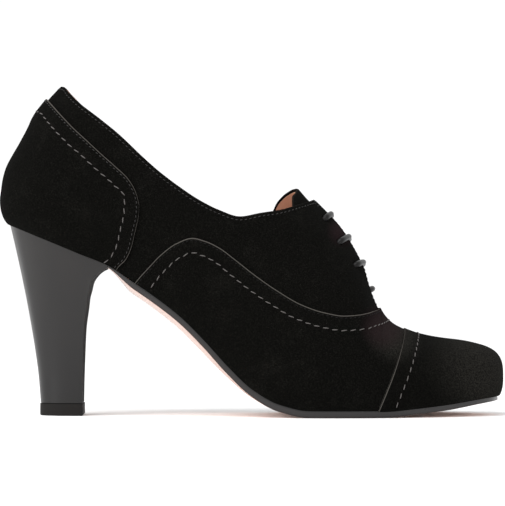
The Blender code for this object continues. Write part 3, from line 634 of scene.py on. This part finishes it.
SUEDE_DARK = "#070706"
SUEDE_LIGHT = "#262522"
PAINTED_LIGHT_SPOTS = (
    # x, z, radius: painted light, paler spots on the toe and the vamp where light falls on them
    (0.198, 0.026, 0.036),
    (0.152, 0.038, 0.016),
)
PLUM_SPOTS = (
    # x, z, radius: where the dye shows its plum tint
    (0.1290, 0.0845, 0.009),
    (0.1475, 0.0415, 0.013),
)


def ramp(material, value, start, end, low=0, high=1, **settings):
    """A value turned into a level that goes from low at start to high at end."""
    inputs = {"Value": value, "From Min": start, "From Max": end, "To Min": low, "To Max": high}
    return add_node(material, "ShaderNodeMapRange", inputs, **settings).outputs["Result"]


def noise(material, place, scale, detail, roughness=0.5):
    """The level of a cloudy texture at a place."""
    inputs = {"Vector": place, "Scale": scale, "Detail": detail, "Roughness": roughness}
    return add_node(material, "ShaderNodeTexNoise", inputs).outputs["Fac"]


def calculated(material, operation, *sources):
    """What one step of arithmetic makes of sockets and numbers."""
    return add_node(material, "ShaderNodeMath", dict(enumerate(sources)), operation=operation).outputs[0]


def mark(material, name):
    """The numbers that a mesh carries under a name."""
    return add_node(material, "ShaderNodeAttribute", attribute_name=name).outputs["Fac"]


def mixed(material, level, *colours):
    """A colour that goes from the first to the second by a level. Each is a hex value or a socket."""
    first, second = (linear_colour(c) if isinstance(c, str) else c for c in colours)
    return add_node(material, "ShaderNodeMix", {0: level, 6: first, 7: second}, data_type="RGBA").outputs[2]


def dressed(material, shader, colour, height, strength, distance):
    """Gives a material's shader its colour and a fine relief of some distance from a texture's level."""
    bump = add_node(
        material, "ShaderNodeBump", {"Strength": strength, "Distance": distance, "Height": height}
    )
    material.node_tree.links.new(colour, shader.inputs["Base Color"])
    material.node_tree.links.new(bump.outputs["Normal"], shader.inputs["Normal"])
    return material


def spots(material, place, table):
    """How far a place is within any of a table's soft spots, from 0 to 1."""
    flat = add_node(material, "ShaderNodeVectorMath", {0: place, 1: (1, 0, 1)}, operation="MULTIPLY")
    level = 0
    for x, z, radius in table:
        ends = {0: flat.outputs[0], 1: (x, 0, z)}
        away = add_node(material, "ShaderNodeVectorMath", ends, operation="DISTANCE").outputs["Value"]
        near = ramp(material, away, radius * 0.25, radius, 1, 0, interpolation_type="SMOOTHSTEP")
        level = calculated(material, "MAXIMUM", level, near)
    return level


def suede(name, edge_and_highlight_colour, edge_reach):
    """Black suede with random paler patches, paler spots of painted light where light falls on the toe and
    the vamp, short fibres, and a paler cut or folded edge that is partly its own colour and partly a painted
    highlight where the edge catches the light.

    The fibres are drawn at 0.6 mm, coarser than real ones, so that they still show."""
    material, shader = new_material(name, 1, 0)
    place = add_node(material, "ShaderNodeTexCoord").outputs["Object"]
    patches = ramp(material, noise(material, place, 70, 6, 0.7), 0.52, 0.90)
    # painted light: the spots lighten the suede where light falls on the toe and the vamp, on top of its
    # random paler patches
    patches_and_painted_light = calculated(material, "MULTIPLY_ADD", patches, 0.45, spots(material, place, PAINTED_LIGHT_SPOTS))
    fibres = noise(material, place, 1700, 2, 0.6)
    grain = ramp(material, fibres, 0.30, 0.70)
    shown = calculated(material, "MULTIPLY_ADD", grain, 0.25, patches_and_painted_light)
    level = calculated(material, "MULTIPLY", shown, grain)
    colour = mixed(material, level, SUEDE_DARK, SUEDE_LIGHT)
    plum = calculated(material, "MULTIPLY", spots(material, place, PLUM_SPOTS), 0.5)
    colour = mixed(material, plum, colour, "#271a1d")
    # the cut or folded edge: partly its own paler colour, partly a painted highlight where the edge catches
    # the light
    edge_and_painted_highlight = ramp(material, mark(material, "edge_mm"), edge_reach * 0.4, edge_reach, 1, 0)
    colour = mixed(material, edge_and_painted_highlight, colour, edge_and_highlight_colour)
    shader.inputs["Sheen Weight"].default_value = 0.01
    shader.inputs["Sheen Roughness"].default_value = 0.6
    return dressed(material, shader, colour, fibres, 0.7, 0.0003)


def tan_leather(name):
    """Smooth pig leather in a light tan, with faint cloudy dye and fine pores."""
    material, shader = new_material(name, 0.55)
    place = add_node(material, "ShaderNodeTexCoord").outputs["Object"]
    colour = mixed(material, noise(material, place, 60, 3), "#b8866c", "#d8a58a")
    pores = add_node(material, "ShaderNodeTexVoronoi", {"Scale": 900, "Vector": place})
    return dressed(material, shader, colour, pores.outputs["Distance"], 0.25, 0.0001)


side = np.linspace(0, 1, SIDE_COLUMNS + 1)
upper_turns = np.concatenate([side, 2 - side[-2:0:-1]])
places, ways, edge = rows_on(upper_turns, in_upper, UPPER_ROWS)
# folded edges of the quarters and tongue: a paler rim, partly own colour and partly painted highlight
suede_quarter = suede("black suede of the quarters", "#1c1a18", 0.5)
tan_lining = tan_leather("tan pig leather lining")
fold = rounding(edge, SUEDE_THICKNESS / 2)
quarter_mesh = wall_mesh(
    "quarters", places, ways, -fold, -SUEDE_THICKNESS + fold, True, {"edge_mm": edge * 1000}
)
lining_mesh = wall_mesh(
    "quarter_lining", places, ways, -SUEDE_THICKNESS, -SUEDE_THICKNESS - LINING_THICKNESS, True
)
quarters = made_piece("quarters", quarter_mesh, suede_quarter, "upper")
quarter_lining = made_piece("quarter_lining", lining_mesh, tan_lining, "upper")
EYELETS = (
    # along, distance from the facing's edge
    (0.6435, 0.0113),
    (0.6720, 0.0165),
    (0.7035, 0.0165),
)
EYELET_DIAMETER = 0.0033
PUNCH_DEPTH = 0.012
PUNCH_VERTICES = 24
for share, inset_there in EYELETS:
    for hand in (-1, 1):
        x = along(share)
        place, way = spot(x, crest_y(x) + hand * (half_gap(x) + inset_there), 0)
        bpy.ops.object.select_all(action="DESELECT")
        bpy.ops.mesh.primitive_cylinder_add(
            vertices=PUNCH_VERTICES, radius=EYELET_DIAMETER / 2, depth=PUNCH_DEPTH, location=place
        )
        punch = bpy.context.object
        punch.rotation_euler = way.to_track_quat("Z", "Y").to_euler()
        for piece in (quarters, quarter_lining):
            cut = piece.modifiers.new("eyelet", "BOOLEAN")
            cut.object = punch
            cut.operation = "DIFFERENCE"
            cut.solver = "EXACT"
            bpy.context.view_layer.objects.active = piece
            bpy.ops.object.modifier_apply(modifier=cut.name)
        bpy.data.objects.remove(punch)

# The vamp, the counter and the toe cap: panels of the same suede with cut edges, laid over the quarters and
# sewn down along a row of thick stitches, the vamp and the counter along a row of fine ones at the edge too.
VAMP_EDGE = (
    # along, share of the instep's height
    (0.262, 0.560),
    (0.277, 0.602),
    (0.297, 0.650),
    (0.321, 0.705),
    (0.352, 0.755),
    (0.383, 0.778),
    (0.408, 0.765),
    (0.438, 0.733),
    (0.464, 0.690),
    (0.506, 0.617),
    (0.548, 0.552),
    (0.596, 0.490),
    (0.640, 0.456),
    (0.680, 0.441),
    (0.710, 0.445),
    (0.735, 0.458),
    (0.750, 0.466),
    (0.757, 0.480),
    (0.770, 0.700),
    (1.000, 2.000),
)
COUNTER_TOP = (
    # along, share of the collar's height
    (0.000, 1.150),
    (0.078, 0.988),
    (0.092, 0.968),
    (0.128, 0.908),
    (0.149, 0.874),
    (0.175, 0.837),
    (0.203, 0.797),
    (0.233, 0.756),
    (0.256, 0.722),
    (0.272, 0.680),
    (0.279, 0.640),
    (0.300, 0.400),
)
COUNTER_FRONT = (
    # share of the collar's height, along
    (0.400, 0.222),
    (0.452, 0.237),
    (0.475, 0.252),
    (0.515, 0.264),
    (0.555, 0.270),
    (0.615, 0.278),
    (0.660, 0.279),
    (0.700, 0.276),
    (0.800, 0.262),
)
CAP_SEAM = (
    # share of the instep's height, along
    (0.030, 0.7450),
    (0.100, 0.7585),
    (0.200, 0.7770),
    (0.300, 0.7925),
    (0.380, 0.8025),
    (0.600, 0.8120),
)
PANEL_TOP = 0.0011
CAP_TOP = 0.0016
PANEL_FOOT = 0.00005
CUT_EDGE = 0.0004
PANEL_COLUMNS = 190
PANEL_ROWS = 50
SEAM_GAP = 0.0003
HALVINGS = 24
vamp_share = smooth_curve(VAMP_EDGE)
counter_top_share = smooth_curve(COUNTER_TOP)
counter_front_share = smooth_curve(COUNTER_FRONT)
cap_seam_share = smooth_curve(CAP_SEAM)


def in_vamp(points, depth=0):
    """Positive below the vamp's top edge, by more than a depth."""
    return inset(vamp_share, share_of(points[..., 0]), INSTEP_HEIGHT, points[..., 2], depth)


def in_cap(points, depth=0):
    """Positive in front of the toe cap's seam, by more than a depth."""
    x, z = points[..., 0], points[..., 2]
    return x - along(cap_seam_share(z / INSTEP_HEIGHT)) - depth


def in_counter(points, depth=0):
    """Positive on the counter, by more than a depth inside its edge."""
    x, z = points[..., 0], points[..., 2]
    below = inset(counter_top_share, share_of(x), COLLAR_HEIGHT, z, depth)
    level = z / COLLAR_HEIGHT
    behind = inset(counter_front_share, level, SHOE_LENGTH, x - BACK_X, depth, COLLAR_HEIGHT)
    return np.minimum(below, behind)


def in_vamp_panel(points):
    """Positive on the vamp, from its top edge forward to the toe cap."""
    return np.minimum(in_vamp(points), -in_cap(points) - SEAM_GAP)


def last_turn(inside, within, without):
    """The turn at which a region ends, between one turn within it and one without."""
    for _ in range(HALVINGS):
        middle = (within + without) / 2
        value = inside(skin(np.array([middle]))[0])[0]
        if stretch(value) is None:
            without = middle
        else:
            within = middle
    return within


def eased(start, end, count):
    """Numbers from start to end, closer at both ends."""
    t = np.linspace(0, 1, count)
    return start + (end - start) * t * t * (3 - 2 * t)


def panel(name, node, inside, turns, top):
    """A panel with a cut edge over one region of the form."""
    places, ways, edge = rows_on(turns, inside, PANEL_ROWS)
    outer = top - rounding(edge, CUT_EDGE)
    mesh = wall_mesh(name, places, ways, outer, PANEL_FOOT, marks={"edge_mm": edge * 1000})
    made_piece(name, mesh, suede_panel, node)


# cut edges of the panels: a paler grey, partly their own colour and partly a painted highlight
suede_panel = suede("black suede of the panels", "#4d4a46", 0.65)
vamp_back = last_turn(in_vamp_panel, 0.5, 0.2)
vamp_front = last_turn(in_vamp_panel, 0.7, 1.0)
side = eased(vamp_back, vamp_front, PANEL_COLUMNS)
side = np.concatenate([side, 2 - side[::-1]])
panel("vamp_panel", "vamp", in_vamp_panel, side, PANEL_TOP)
counter_end = last_turn(in_counter, 0.0, 0.5)
side = counter_end * np.sin(np.linspace(-math.pi / 2, math.pi / 2, 2 * PANEL_COLUMNS))
panel("counter_panel", "heel_counter", in_counter, side, PANEL_TOP)
cap_back = last_turn(in_cap, 0.9, 0.4)
side = cap_back + (1 - cap_back) * (1 - np.cos(np.linspace(0, math.pi, 2 * PANEL_COLUMNS)))
panel("cap_panel", "toe_cap", in_cap, side, CAP_TOP)

# The seams: lockstitch rows through suede and lining. A thick grey thread runs in one row along the
# counter, the vamp and the toe cap, and a fine dark thread runs close to the edges.
COLLAR_ROW_INSET = 0.0017
BOLD_ROW_INSET = 0.0067
CAP_ROW_INSET = 0.0069
EDGE_ROW_INSET = 0.0012
BOLD_STITCH = (0.0041, 0.0031, 0.00052)
FINE_STITCH = (0.0021, 0.0014, 0.00035)
SLANT = math.radians(9)
STITCH_LIFT = 0.15
STITCH_ROUND = 0.9
STITCH_DIP = 0.5
ROW_RIBS = 160
ROW_CROSSING_AT = 0.800
ROW_PAST_THROAT = 0.05
FINE_ROW_END_AT = 0.748
COLLAR_ROW_SHORT = 0.012
bold_thread, _ = new_material("thick waxed polyester thread", 0.6, colour="#4c4846")
fine_thread, _ = new_material("fine black thread", 0.8, 0.2, "#0c0b0b")
grey_thread, _ = new_material("fine grey thread", 0.6, colour="#1b1918")
bpy.ops.object.select_all(action="DESELECT")
bpy.ops.mesh.primitive_uv_sphere_add(segments=8, ring_count=6, radius=0.5)
template = bpy.context.object
STITCH_POINTS = np.array([tuple(vertex.co) for vertex in template.data.vertices])
STITCH_FACES = [list(face.vertices) for face in template.data.polygons]
bpy.data.objects.remove(template)


def region_line(inside, turns):
    """The line where a region ends between its foot and the crest, in order, and the ways out along it."""
    points, outs = skin(turns)
    samples = np.arange(points.shape[1])
    starts, ends = [], []
    for rib, out, value in zip(points, outs, inside(points)):
        found = stretch(value) or (0, samples[-1])
        for at, line in zip(found, (starts, ends)):
            if 0 < at < samples[-1]:
                line.append(np.concatenate([sampled(at, samples, grid) for grid in (rib, out)]))
    line = np.array(starts + ends[::-1])
    return line[:, :3], unit(line[:, 3:])


def stitch_row(name, inside, turns, lift, sizes, thread):
    """Stitches along a region's edge on both sides of the shoe, as one piece."""
    pitch, dash, thick = sizes
    points, faces = [], []
    for hand in (turns, 2 - turns):
        line, ways = region_line(inside, hand)
        length = lengths(line)
        for at in np.arange(pitch / 2, length[-1] - pitch / 3, pitch):
            middle, before, after = (
                sampled(at + step, length, line) for step in (0, -dash / 2, dash / 2)
            )
            way = unit(sampled(at, length, ways))
            ahead = unit(after - before)
            across = np.cross(way, ahead)
            ahead, across = (
                ahead * math.cos(SLANT) + across * math.sin(SLANT),
                across * math.cos(SLANT) - ahead * math.sin(SLANT),
            )
            x, y, z = STITCH_POINTS.T
            height = lift + thick * (STITCH_LIFT + STITCH_ROUND * z - STITCH_DIP * (2 * x) ** 4)
            first = len(points) * len(STITCH_POINTS)
            points.append(
                middle + np.outer(x * dash, ahead) + np.outer(y * thick, across) + np.outer(height, way)
            )
            faces += [[first + corner for corner in face] for face in STITCH_FACES]
    mesh = bpy.data.meshes.new(name)
    mesh.from_pydata(np.concatenate(points).tolist(), [], faces)
    made_piece(name, mesh, thread)


def deep(inside, depth):
    """The region drawn in by a depth."""
    return lambda points: inside(points, depth)


for name, depth, sizes, thread in (
    ("counter_bold_stitches", BOLD_ROW_INSET, BOLD_STITCH, bold_thread),
    ("counter_fine_stitches", EDGE_ROW_INSET, FINE_STITCH, grey_thread),
):
    counter_row = deep(in_counter, depth)
    turns = last_turn(counter_row, 0.0, 0.5) * np.sin(np.linspace(0, math.pi / 2, ROW_RIBS))
    stitch_row(name, counter_row, turns, PANEL_TOP, sizes, thread)
vamp_line = smooth_curve(VAMP_EDGE[:-3] + ((ROW_CROSSING_AT, 0.500),))


def vamp_row(points):
    """Positive below the vamp's thick row, which runs on over the crest in front of the throat."""
    height = inset(vamp_line, share_of(points[..., 0]), INSTEP_HEIGHT, points[..., 2], BOLD_ROW_INSET)
    return np.where(points[..., 0] > along(ROW_CROSSING_AT), 1.0, height)


throat_turn = np.interp(THROAT_AT + ROW_PAST_THROAT, fine_shares, fine_turns)
turns = np.linspace(last_turn(vamp_row, 0.5, 0.2), throat_turn, 2 * ROW_RIBS)
stitch_row("vamp_bold_stitches", vamp_row, turns, PANEL_TOP, BOLD_STITCH, bold_thread)
vamp_edge_row = deep(in_vamp, EDGE_ROW_INSET)
throat_turn = np.interp(FINE_ROW_END_AT, fine_shares, fine_turns)
turns = np.linspace(last_turn(vamp_edge_row, 0.5, 0.2), throat_turn, 2 * ROW_RIBS)
stitch_row("vamp_fine_stitches", vamp_edge_row, turns, PANEL_TOP, FINE_STITCH, fine_thread)
cap_row = deep(in_cap, CAP_ROW_INSET)
turns = np.linspace(last_turn(cap_row, 0.95, 0.4), 0.97, ROW_RIBS)
stitch_row("toe_cap_bold_stitches", cap_row, turns, CAP_TOP, BOLD_STITCH, bold_thread)
collar_row = deep(in_upper, COLLAR_ROW_INSET)
throat_turn = np.interp(THROAT_AT - COLLAR_ROW_SHORT, fine_shares, fine_turns)
turns = np.linspace(0, throat_turn, 3 * ROW_RIBS)
stitch_row("collar_stitches", collar_row, turns, 0.0, FINE_STITCH, grey_thread)

# The tongue: suede outside and tan leather inside, sewn to the vamp's lining below the throat. It stands
# up past the facings, and reaches further up on the medial side.
TONGUE_TOP = (
    # across, along
    (-1.00, 0.597),
    (-0.90, 0.586),
    (-0.70, 0.5875),
    (-0.48, 0.5950),
    (0.00, 0.6000),
    (0.23, 0.5954),
    (0.40, 0.5875),
    (0.52, 0.5795),
    (0.68, 0.5636),
    (0.80, 0.5476),
    (0.90, 0.5360),
    (1.00, 0.5330),
)
TONGUE_FOOT_AT = 0.772
TONGUE_HALF_WIDTH = 0.0255
TONGUE_FOOT_HALF_WIDTH = 0.0120
TONGUE_FACE = -0.0026
TONGUE_SUEDE = 0.0010
TONGUE_LINING = 0.0006
TONGUE_RIM = 0.0009
TONGUE_CELLS = 70
tongue_top = smooth_curve(TONGUE_TOP)


def tongue_grid(rim):
    """A grid over the tongue less a rim at its sides and top, and each point's distance to the edge."""
    across = eased(-1, 1, TONGUE_CELLS)[:, None] * (1 - rim / TONGUE_HALF_WIDTH)
    up = eased(0, 1, TONGUE_CELLS)[None]
    top = along(tongue_top(across)) + rim
    foot = along(TONGUE_FOOT_AT)
    x = foot + (top - foot) * up
    half_width = TONGUE_FOOT_HALF_WIDTH + (TONGUE_HALF_WIDTH - TONGUE_FOOT_HALF_WIDTH) * up
    places, ways = on_form(x, crest_y(x) + across * half_width)
    from_side = (1 - np.abs(across)) * half_width
    from_top = x - top
    return places, ways, np.minimum(from_side, from_top)


places, ways, edge = tongue_grid(0)
fold = rounding(edge, TONGUE_SUEDE / 2)
back = TONGUE_FACE - TONGUE_SUEDE
marks = {"edge_mm": edge * 1000}
mesh = wall_mesh("tongue_suede", places, ways, TONGUE_FACE - fold, back + fold, marks=marks)
made_piece("tongue_suede", mesh, suede_quarter, "tongue")
places, ways, _ = tongue_grid(TONGUE_RIM)
mesh = wall_mesh("tongue_lining", places, ways, back, back - TONGUE_LINING)
made_piece("tongue_lining", mesh, tan_lining, "tongue")

# The insole: a sock of the lining's tan leather over a stiff board, that the upper's foot is lasted under.
INSOLE_THICKNESS = 0.0022
INSOLE_INSET = 0.0021
BOARD_COLUMNS = 160
BOARD_ROWS = 25


def board_grid(start, margin, rows):
    """A grid over the feather line's plan, from a turn to the toe tip and from side to side.

    It is drawn out by a margin. Gives the points, each one's distance to the edge, and its share across."""
    turns = np.linspace(start, 1, BOARD_COLUMNS)
    sides = []
    for turn in (turns, 2 - turns):
        x, y, nx, ny = feather_points(turn)
        sides.append(np.stack([x + nx * margin, y + ny * margin], axis=1))
    left, right = sides
    across = eased(0, 1, rows)[None, :, None]
    plan = left[:, None] + (right - left)[:, None] * across
    width = np.linalg.norm(right - left, axis=1)[:, None]
    edge = np.minimum(across[..., 0], 1 - across[..., 0]) * width
    to_tip = np.linalg.norm(plan - plan[-1:, :1], axis=2)
    places = np.concatenate([plan, feather_z(plan[..., :1])], axis=2)
    return places, np.minimum(edge, to_tip), across[..., 0]


places, _, _ = board_grid(0, -INSOLE_INSET, BOARD_ROWS)
up = np.broadcast_to([0.0, 0.0, 1.0], places.shape)
mesh = wall_mesh("insole_sock", places, up, INSOLE_THICKNESS, 0)
made_piece("insole_sock", mesh, tan_lining, "insole")

# The outsole: leather from the heel's breast to the toe, its edge inked and burnished dark, its underside
# left natural and round under the shank.
SOLE_SECTIONS = (
    # along, thickness, crown
    (0.200, 0.28, 0.30),
    (0.217, 0.30, 0.40),
    (0.245, 0.60, 0.80),
    (0.275, 0.78, 1.00),
    (0.400, 0.82, 1.00),
    (0.500, 0.93, 0.45),
    (0.570, 1.00, 0.12),
    (0.600, 1.00, 0.00),
    (0.755, 1.00, 0.00),
    (0.880, 0.92, 0.00),
    (1.000, 0.70, 0.00),
)
BREAST_AT = 0.2165
SEAT_GAP = 0.0004
SOLE_THICKNESS = 0.0033
SOLE_MARGIN = 0.0003
SOLE_UPRIGHT = 0.0120
SHANK_CROWN = 0.0025
SOLE_CORNER = 0.0003
SOLE_ROWS = 40
sole_share = smooth_curve(SOLE_SECTIONS, 1)
crown_share = smooth_curve(SOLE_SECTIONS, 2)
breast_turn = np.interp(BREAST_AT, fine_shares, fine_turns)
places, edge, across = board_grid(breast_turn, SOLE_MARGIN, SOLE_ROWS)
x = places[..., 0]
step = 1e-4
slope = (feather_z(x + step) - feather_z(x - step)) / (2 * step)
lean = np.minimum((x - along(BREAST_AT)) / SOLE_UPRIGHT, 1)
down = np.stack([slope * lean, 0 * x, -1 + 0 * x], axis=-1) / np.hypot(1, slope)[..., None]
crown = SHANK_CROWN * crown_share(share_of(x)) * (1 - (2 * across - 1) ** 2)
thick = SOLE_THICKNESS * sole_share(share_of(x)) + crown
size = np.linalg.norm(down, axis=-1)
places = places - (0, 0, SEAT_GAP)
corner = rounding(edge, SOLE_CORNER)
bottom = (-thick + corner) * size
marks = {"edge_mm": edge * 1000}
sole_mesh = wall_mesh("outsole_leather", places, -down, 0, bottom, marks=marks)
level = np.zeros(len(sole_mesh.vertices))
level[len(level) // 2 :] = 1
sole_mesh.attributes.new("level", "FLOAT", "POINT").data.foreach_set("value", level)
burnished, shader = new_material("burnished leather edge and natural underside", 0.32)
natural = ramp(burnished, mark(burnished, "edge_mm"), 0.10, 0.35)
level_mark = mark(burnished, "level")
tone = mixed(burnished, ramp(burnished, level_mark, 0.12, 0.30), "#020202", "#1d1a1a")
tone = mixed(burnished, ramp(burnished, level_mark, 0.80, 0.90), tone, "#150b09")
tone = mixed(burnished, natural, tone, "#d9b7a9")
burnished.node_tree.links.new(tone, shader.inputs["Base Color"])
made_piece("outsole_leather", sole_mesh, burnished, "outsole")

# The heel: a moulded block, broad at the seat and narrowing to its foot, sprayed with a dark grey satin
# lacquer and nailed on from inside.
HEEL_TAPER = (
    # level, back, sides, breast
    (0.000, 0.000, 0.000, 0.00),
    (0.022, 0.031, 0.033, 0.02),
    (0.045, 0.062, 0.067, 0.25),
    (0.072, 0.099, 0.106, 0.43),
    (0.130, 0.177, 0.190, 0.64),
    (0.190, 0.255, 0.270, 0.715),
    (0.245, 0.325, 0.345, 0.79),
    (0.300, 0.393, 0.415, 0.82),
    (0.475, 0.594, 0.620, 0.93),
    (0.700, 0.815, 0.836, 0.97),
    (0.850, 0.930, 0.942, 0.99),
    (1.000, 1.000, 1.000, 1.00),
)
HEEL_FOOT_LENGTH = 0.0195
HEEL_FOOT_WIDTH = 0.0240
HEEL_FOOT_ROUND = 2.3
HEEL_FOOT_LEVEL = 0.0058
BREAST_HOLLOW = 0.0015
BREAST_GAP = 0.0003
BREAST_CELLS = 24
HEEL_SIDE = 60
HEEL_RINGS = 90
back_share = smooth_curve(HEEL_TAPER, 1)
side_share = smooth_curve(HEEL_TAPER, 2)
breast_share = smooth_curve(HEEL_TAPER, 3)


def heel_ring(level):
    """One ring of the heel, counterclockwise from its back's middle: level 0 is its seat, 1 its foot."""
    turns = np.linspace(0, breast_turn, HEEL_SIDE)
    back_x = feather_points(np.array([0.0]))[0][0]
    breast_x = along(BREAST_AT) - BREAST_GAP
    sides = []
    for turn in (turns, 2 - turns):
        x, y, _, _ = feather_points(turn)
        forward = (x - back_x) / (along(BREAST_AT) - back_x)
        x = back_x + forward * (breast_x - back_x)
        top_z = feather_z(x) - SEAT_GAP
        foot_x = (forward - 0.5) * HEEL_FOOT_LENGTH
        foot_y = HEEL_FOOT_WIDTH / 2 * (1 - (1 - forward) ** HEEL_FOOT_ROUND) ** (1 / HEEL_FOOT_ROUND)
        way_x = back_share(level) + (breast_share(level) - back_share(level)) * forward**3
        x = x + (foot_x - x) * way_x
        y = y + (np.copysign(foot_y, y) - y) * side_share(level)
        sides.append(np.stack([x, y, top_z + (HEEL_FOOT_LEVEL - top_z) * level], axis=1))
    lateral, medial = sides
    across = np.linspace(0, 1, BREAST_CELLS + 1)[1:-1, None]
    breast = lateral[-1] + (medial[-1] - lateral[-1]) * across
    breast[:, 0] -= BREAST_HOLLOW * 4 * (across * (1 - across))[:, 0] * math.sin(math.pi * level)
    return np.concatenate([lateral, breast, medial[:0:-1]])


def ring_mesh(name, rings):
    """A closed mesh through rings from the bottom up."""
    count = len(rings[0])
    number = np.arange(count * len(rings)).reshape(len(rings), count)
    after = np.roll(number, -1, axis=1)
    quads = np.stack([number[:-1], after[:-1], after[1:], number[1:]], axis=-1).reshape(-1, 4)
    faces = quads.tolist() + [number[0][::-1].tolist(), number[-1].tolist()]
    mesh = bpy.data.meshes.new(name)
    mesh.from_pydata(np.concatenate(rings).tolist(), [], faces)
    return mesh


# Satin lacquer sprayed on moulded plastic: a soft sheen over faint upright clouds in the grey, a fine
# orange peel, painted shade darkening the grey towards the foot, and matt in the hollow of the breast,
# which painted shade turns near black.
lacquer, shader = new_material("dark grey satin lacquer", 0.5, 0.4)
place = add_node(lacquer, "ShaderNodeTexCoord").outputs["Object"]
upright = add_node(lacquer, "ShaderNodeMapping", {"Scale": (1, 1, 0.3), "Vector": place})
clouds = noise(lacquer, upright.outputs["Vector"], 140, 3)
height = add_node(lacquer, "ShaderNodeSeparateXYZ", {"Vector": place}).outputs["Z"]
breast = mark(lacquer, "breast")
grey = mixed(lacquer, clouds, "#121110", "#1a1615")
# painted shade: the grey darkens from 75 mm high down to 10 mm, towards the heel's foot
grey = mixed(lacquer, ramp(lacquer, height, 0.075, 0.010), grey, "#0d0b0b")
# painted shade: the breast's hollow is darkened to near black
grey = mixed(lacquer, breast, grey, "#050404")
matt = ramp(lacquer, breast, 0, 1, 0.38, 1)
lacquer.node_tree.links.new(matt, shader.inputs["Roughness"])
dressed(lacquer, shader, grey, noise(lacquer, place, 700, 1), 0.12, 0.0001)
rings = [heel_ring(level) for level in np.linspace(1, 0, HEEL_RINGS)]
heel_mesh = ring_mesh("heel_block", rings)
on_breast = np.zeros((HEEL_RINGS, len(rings[0])))
on_breast[:, HEEL_SIDE : HEEL_SIDE + BREAST_CELLS - 1] = 1
heel_mesh.attributes.new("breast", "FLOAT", "POINT").data.foreach_set("value", on_breast.ravel())
made_piece("heel_block", heel_mesh, lacquer, "heel")

# The heel's top piece: dark rubber, nailed under the heel's foot, its lower edge rounded.
TIP_THICKNESS = 0.0055
TIP_MARGIN = 0.0003
TIP_ROUND = 0.0008
rubber, _ = new_material("dark rubber", 0.75, 0.2, "#171514")
foot_ring = heel_ring(1.0)
rings = []
for angle in np.linspace(0, math.pi / 2, 7):
    drawn = TIP_MARGIN - TIP_ROUND * (1 - math.sin(angle))
    size = np.array([1 + drawn / (HEEL_FOOT_LENGTH / 2), 1 + drawn / (HEEL_FOOT_WIDTH / 2), 0])
    rings.append(foot_ring * size + (0, 0, TIP_ROUND * (1 - math.cos(angle))))
rings.append(rings[-1] + (0, 0, TIP_THICKNESS - TIP_ROUND))
made_piece("top_piece", ring_mesh("top_piece", rings), rubber, "heel_tip")

# The lace: one round waxed cotton cord, near black. Each bar comes up out of one eyelet, lies over the
# facings and goes down into the other; the lowest bows over the tongue, its ends under the facings.
LOWEST_LACE_AT = 0.7360
LACE_DIAMETER = 0.0027
LACE_LIFT = -0.0005
LACE_SAG = 0.0012
LACE_DRIFT = 0.0120
LOWEST_LACE_LIFT = 0.0009
LACE_STEPS = 48
LACE_END_LIFTS = (-0.0028, -0.0015, 0.0005)
LACE_DIPS = (
    # share of the way from the crest to the eyelet, share of the sag
    (0.93, 0.0),
    (0.80, 0.0),
    (0.60, 0.0),
    (0.40, 0.1),
    (0.20, 0.7),
)
waxed, _ = new_material("waxed cotton cord", 0.42, 0.22, "#0b0a0a")


def lace_bar(number, route):
    """A round cord along a smooth curve through a route."""
    route = np.array([tuple(point) for point in route])
    length = lengths(route)
    at = np.linspace(0, length[-1], LACE_STEPS)
    line = np.stack([smooth_curve(list(zip(length, route[:, k])))(at) for k in range(3)], axis=1)
    curve = bpy.data.curves.new(f"lace_{number}", "CURVE")
    curve.dimensions = "3D"
    curve.bevel_depth = LACE_DIAMETER / 2
    curve.bevel_resolution = 6
    curve.use_fill_caps = True
    spline = curve.splines.new("POLY")
    spline.points.add(len(line) - 1)
    for point, place in zip(spline.points, line):
        point.co = (*place, 1)
    cord = bpy.data.objects.new(f"lace_{number}", curve)
    bpy.context.scene.collection.objects.link(cord)
    bpy.ops.object.select_all(action="DESELECT")
    cord.select_set(True)
    bpy.context.view_layer.objects.active = cord
    bpy.ops.object.convert(target="MESH")
    cord.data.materials.append(waxed)
    cord.data.shade_smooth()
    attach(cord, "root")
    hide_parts(f"lace_bar_{number}")


def over_crest(share, inset_there, across):
    """The plan place where a bar drawn straight over the crest from its eyelet passes a side place."""
    x = along(share)
    side = math.copysign(half_gap(x) + inset_there, across)
    own, other = (spot(x, crest_y(x) + hand * side, 0)[0].z for hand in (1, -1))
    start = (own + other) / 2 + (own - other) / 2 * across / side
    step = 0.0005
    slope = (crest_z(x + step) - crest_z(x - step)) / (2 * step)
    low, high = x - LACE_DRIFT, x + LACE_DRIFT
    for _ in range(HALVINGS):
        middle = (low + high) / 2
        height = spot(middle, crest_y(middle) + across, 0)[0].z
        if middle - x + slope * (height - start) > 0:
            high = middle
        else:
            low = middle
    return low, crest_y(low) + across


radius = LACE_DIAMETER / 2
for number, (share, inset_there) in enumerate(EYELETS, start=1):
    x = along(share)
    reach = half_gap(x) + inset_there
    route = []
    for side in (-1, 1):
        place, way = spot(x, crest_y(x) + side * reach, 0)
        half = [place + way * lift for lift in LACE_END_LIFTS]
        for inward, sag in LACE_DIPS:
            lift = radius + LACE_LIFT - LACE_SAG * sag
            half.append(spot(*over_crest(share, inset_there, side * reach * inward), lift)[0])
        route.append(half)
    middle = spot(*over_crest(share, inset_there, TOUCHING), radius + LACE_LIFT - LACE_SAG)[0]
    lace_bar(number, route[0] + [middle] + route[1][::-1])
x = along(LOWEST_LACE_AT)
reach = half_gap(x) - radius
foot = radius + LACE_LIFT + TONGUE_FACE
route = []
for across in np.linspace(-1, 1, 7):
    lift = foot + (LOWEST_LACE_LIFT - foot) * (1 - across**2)
    route.append(spot(x, crest_y(x) + reach * across, lift)[0])
lace_bar(len(EYELETS) + 1, route)
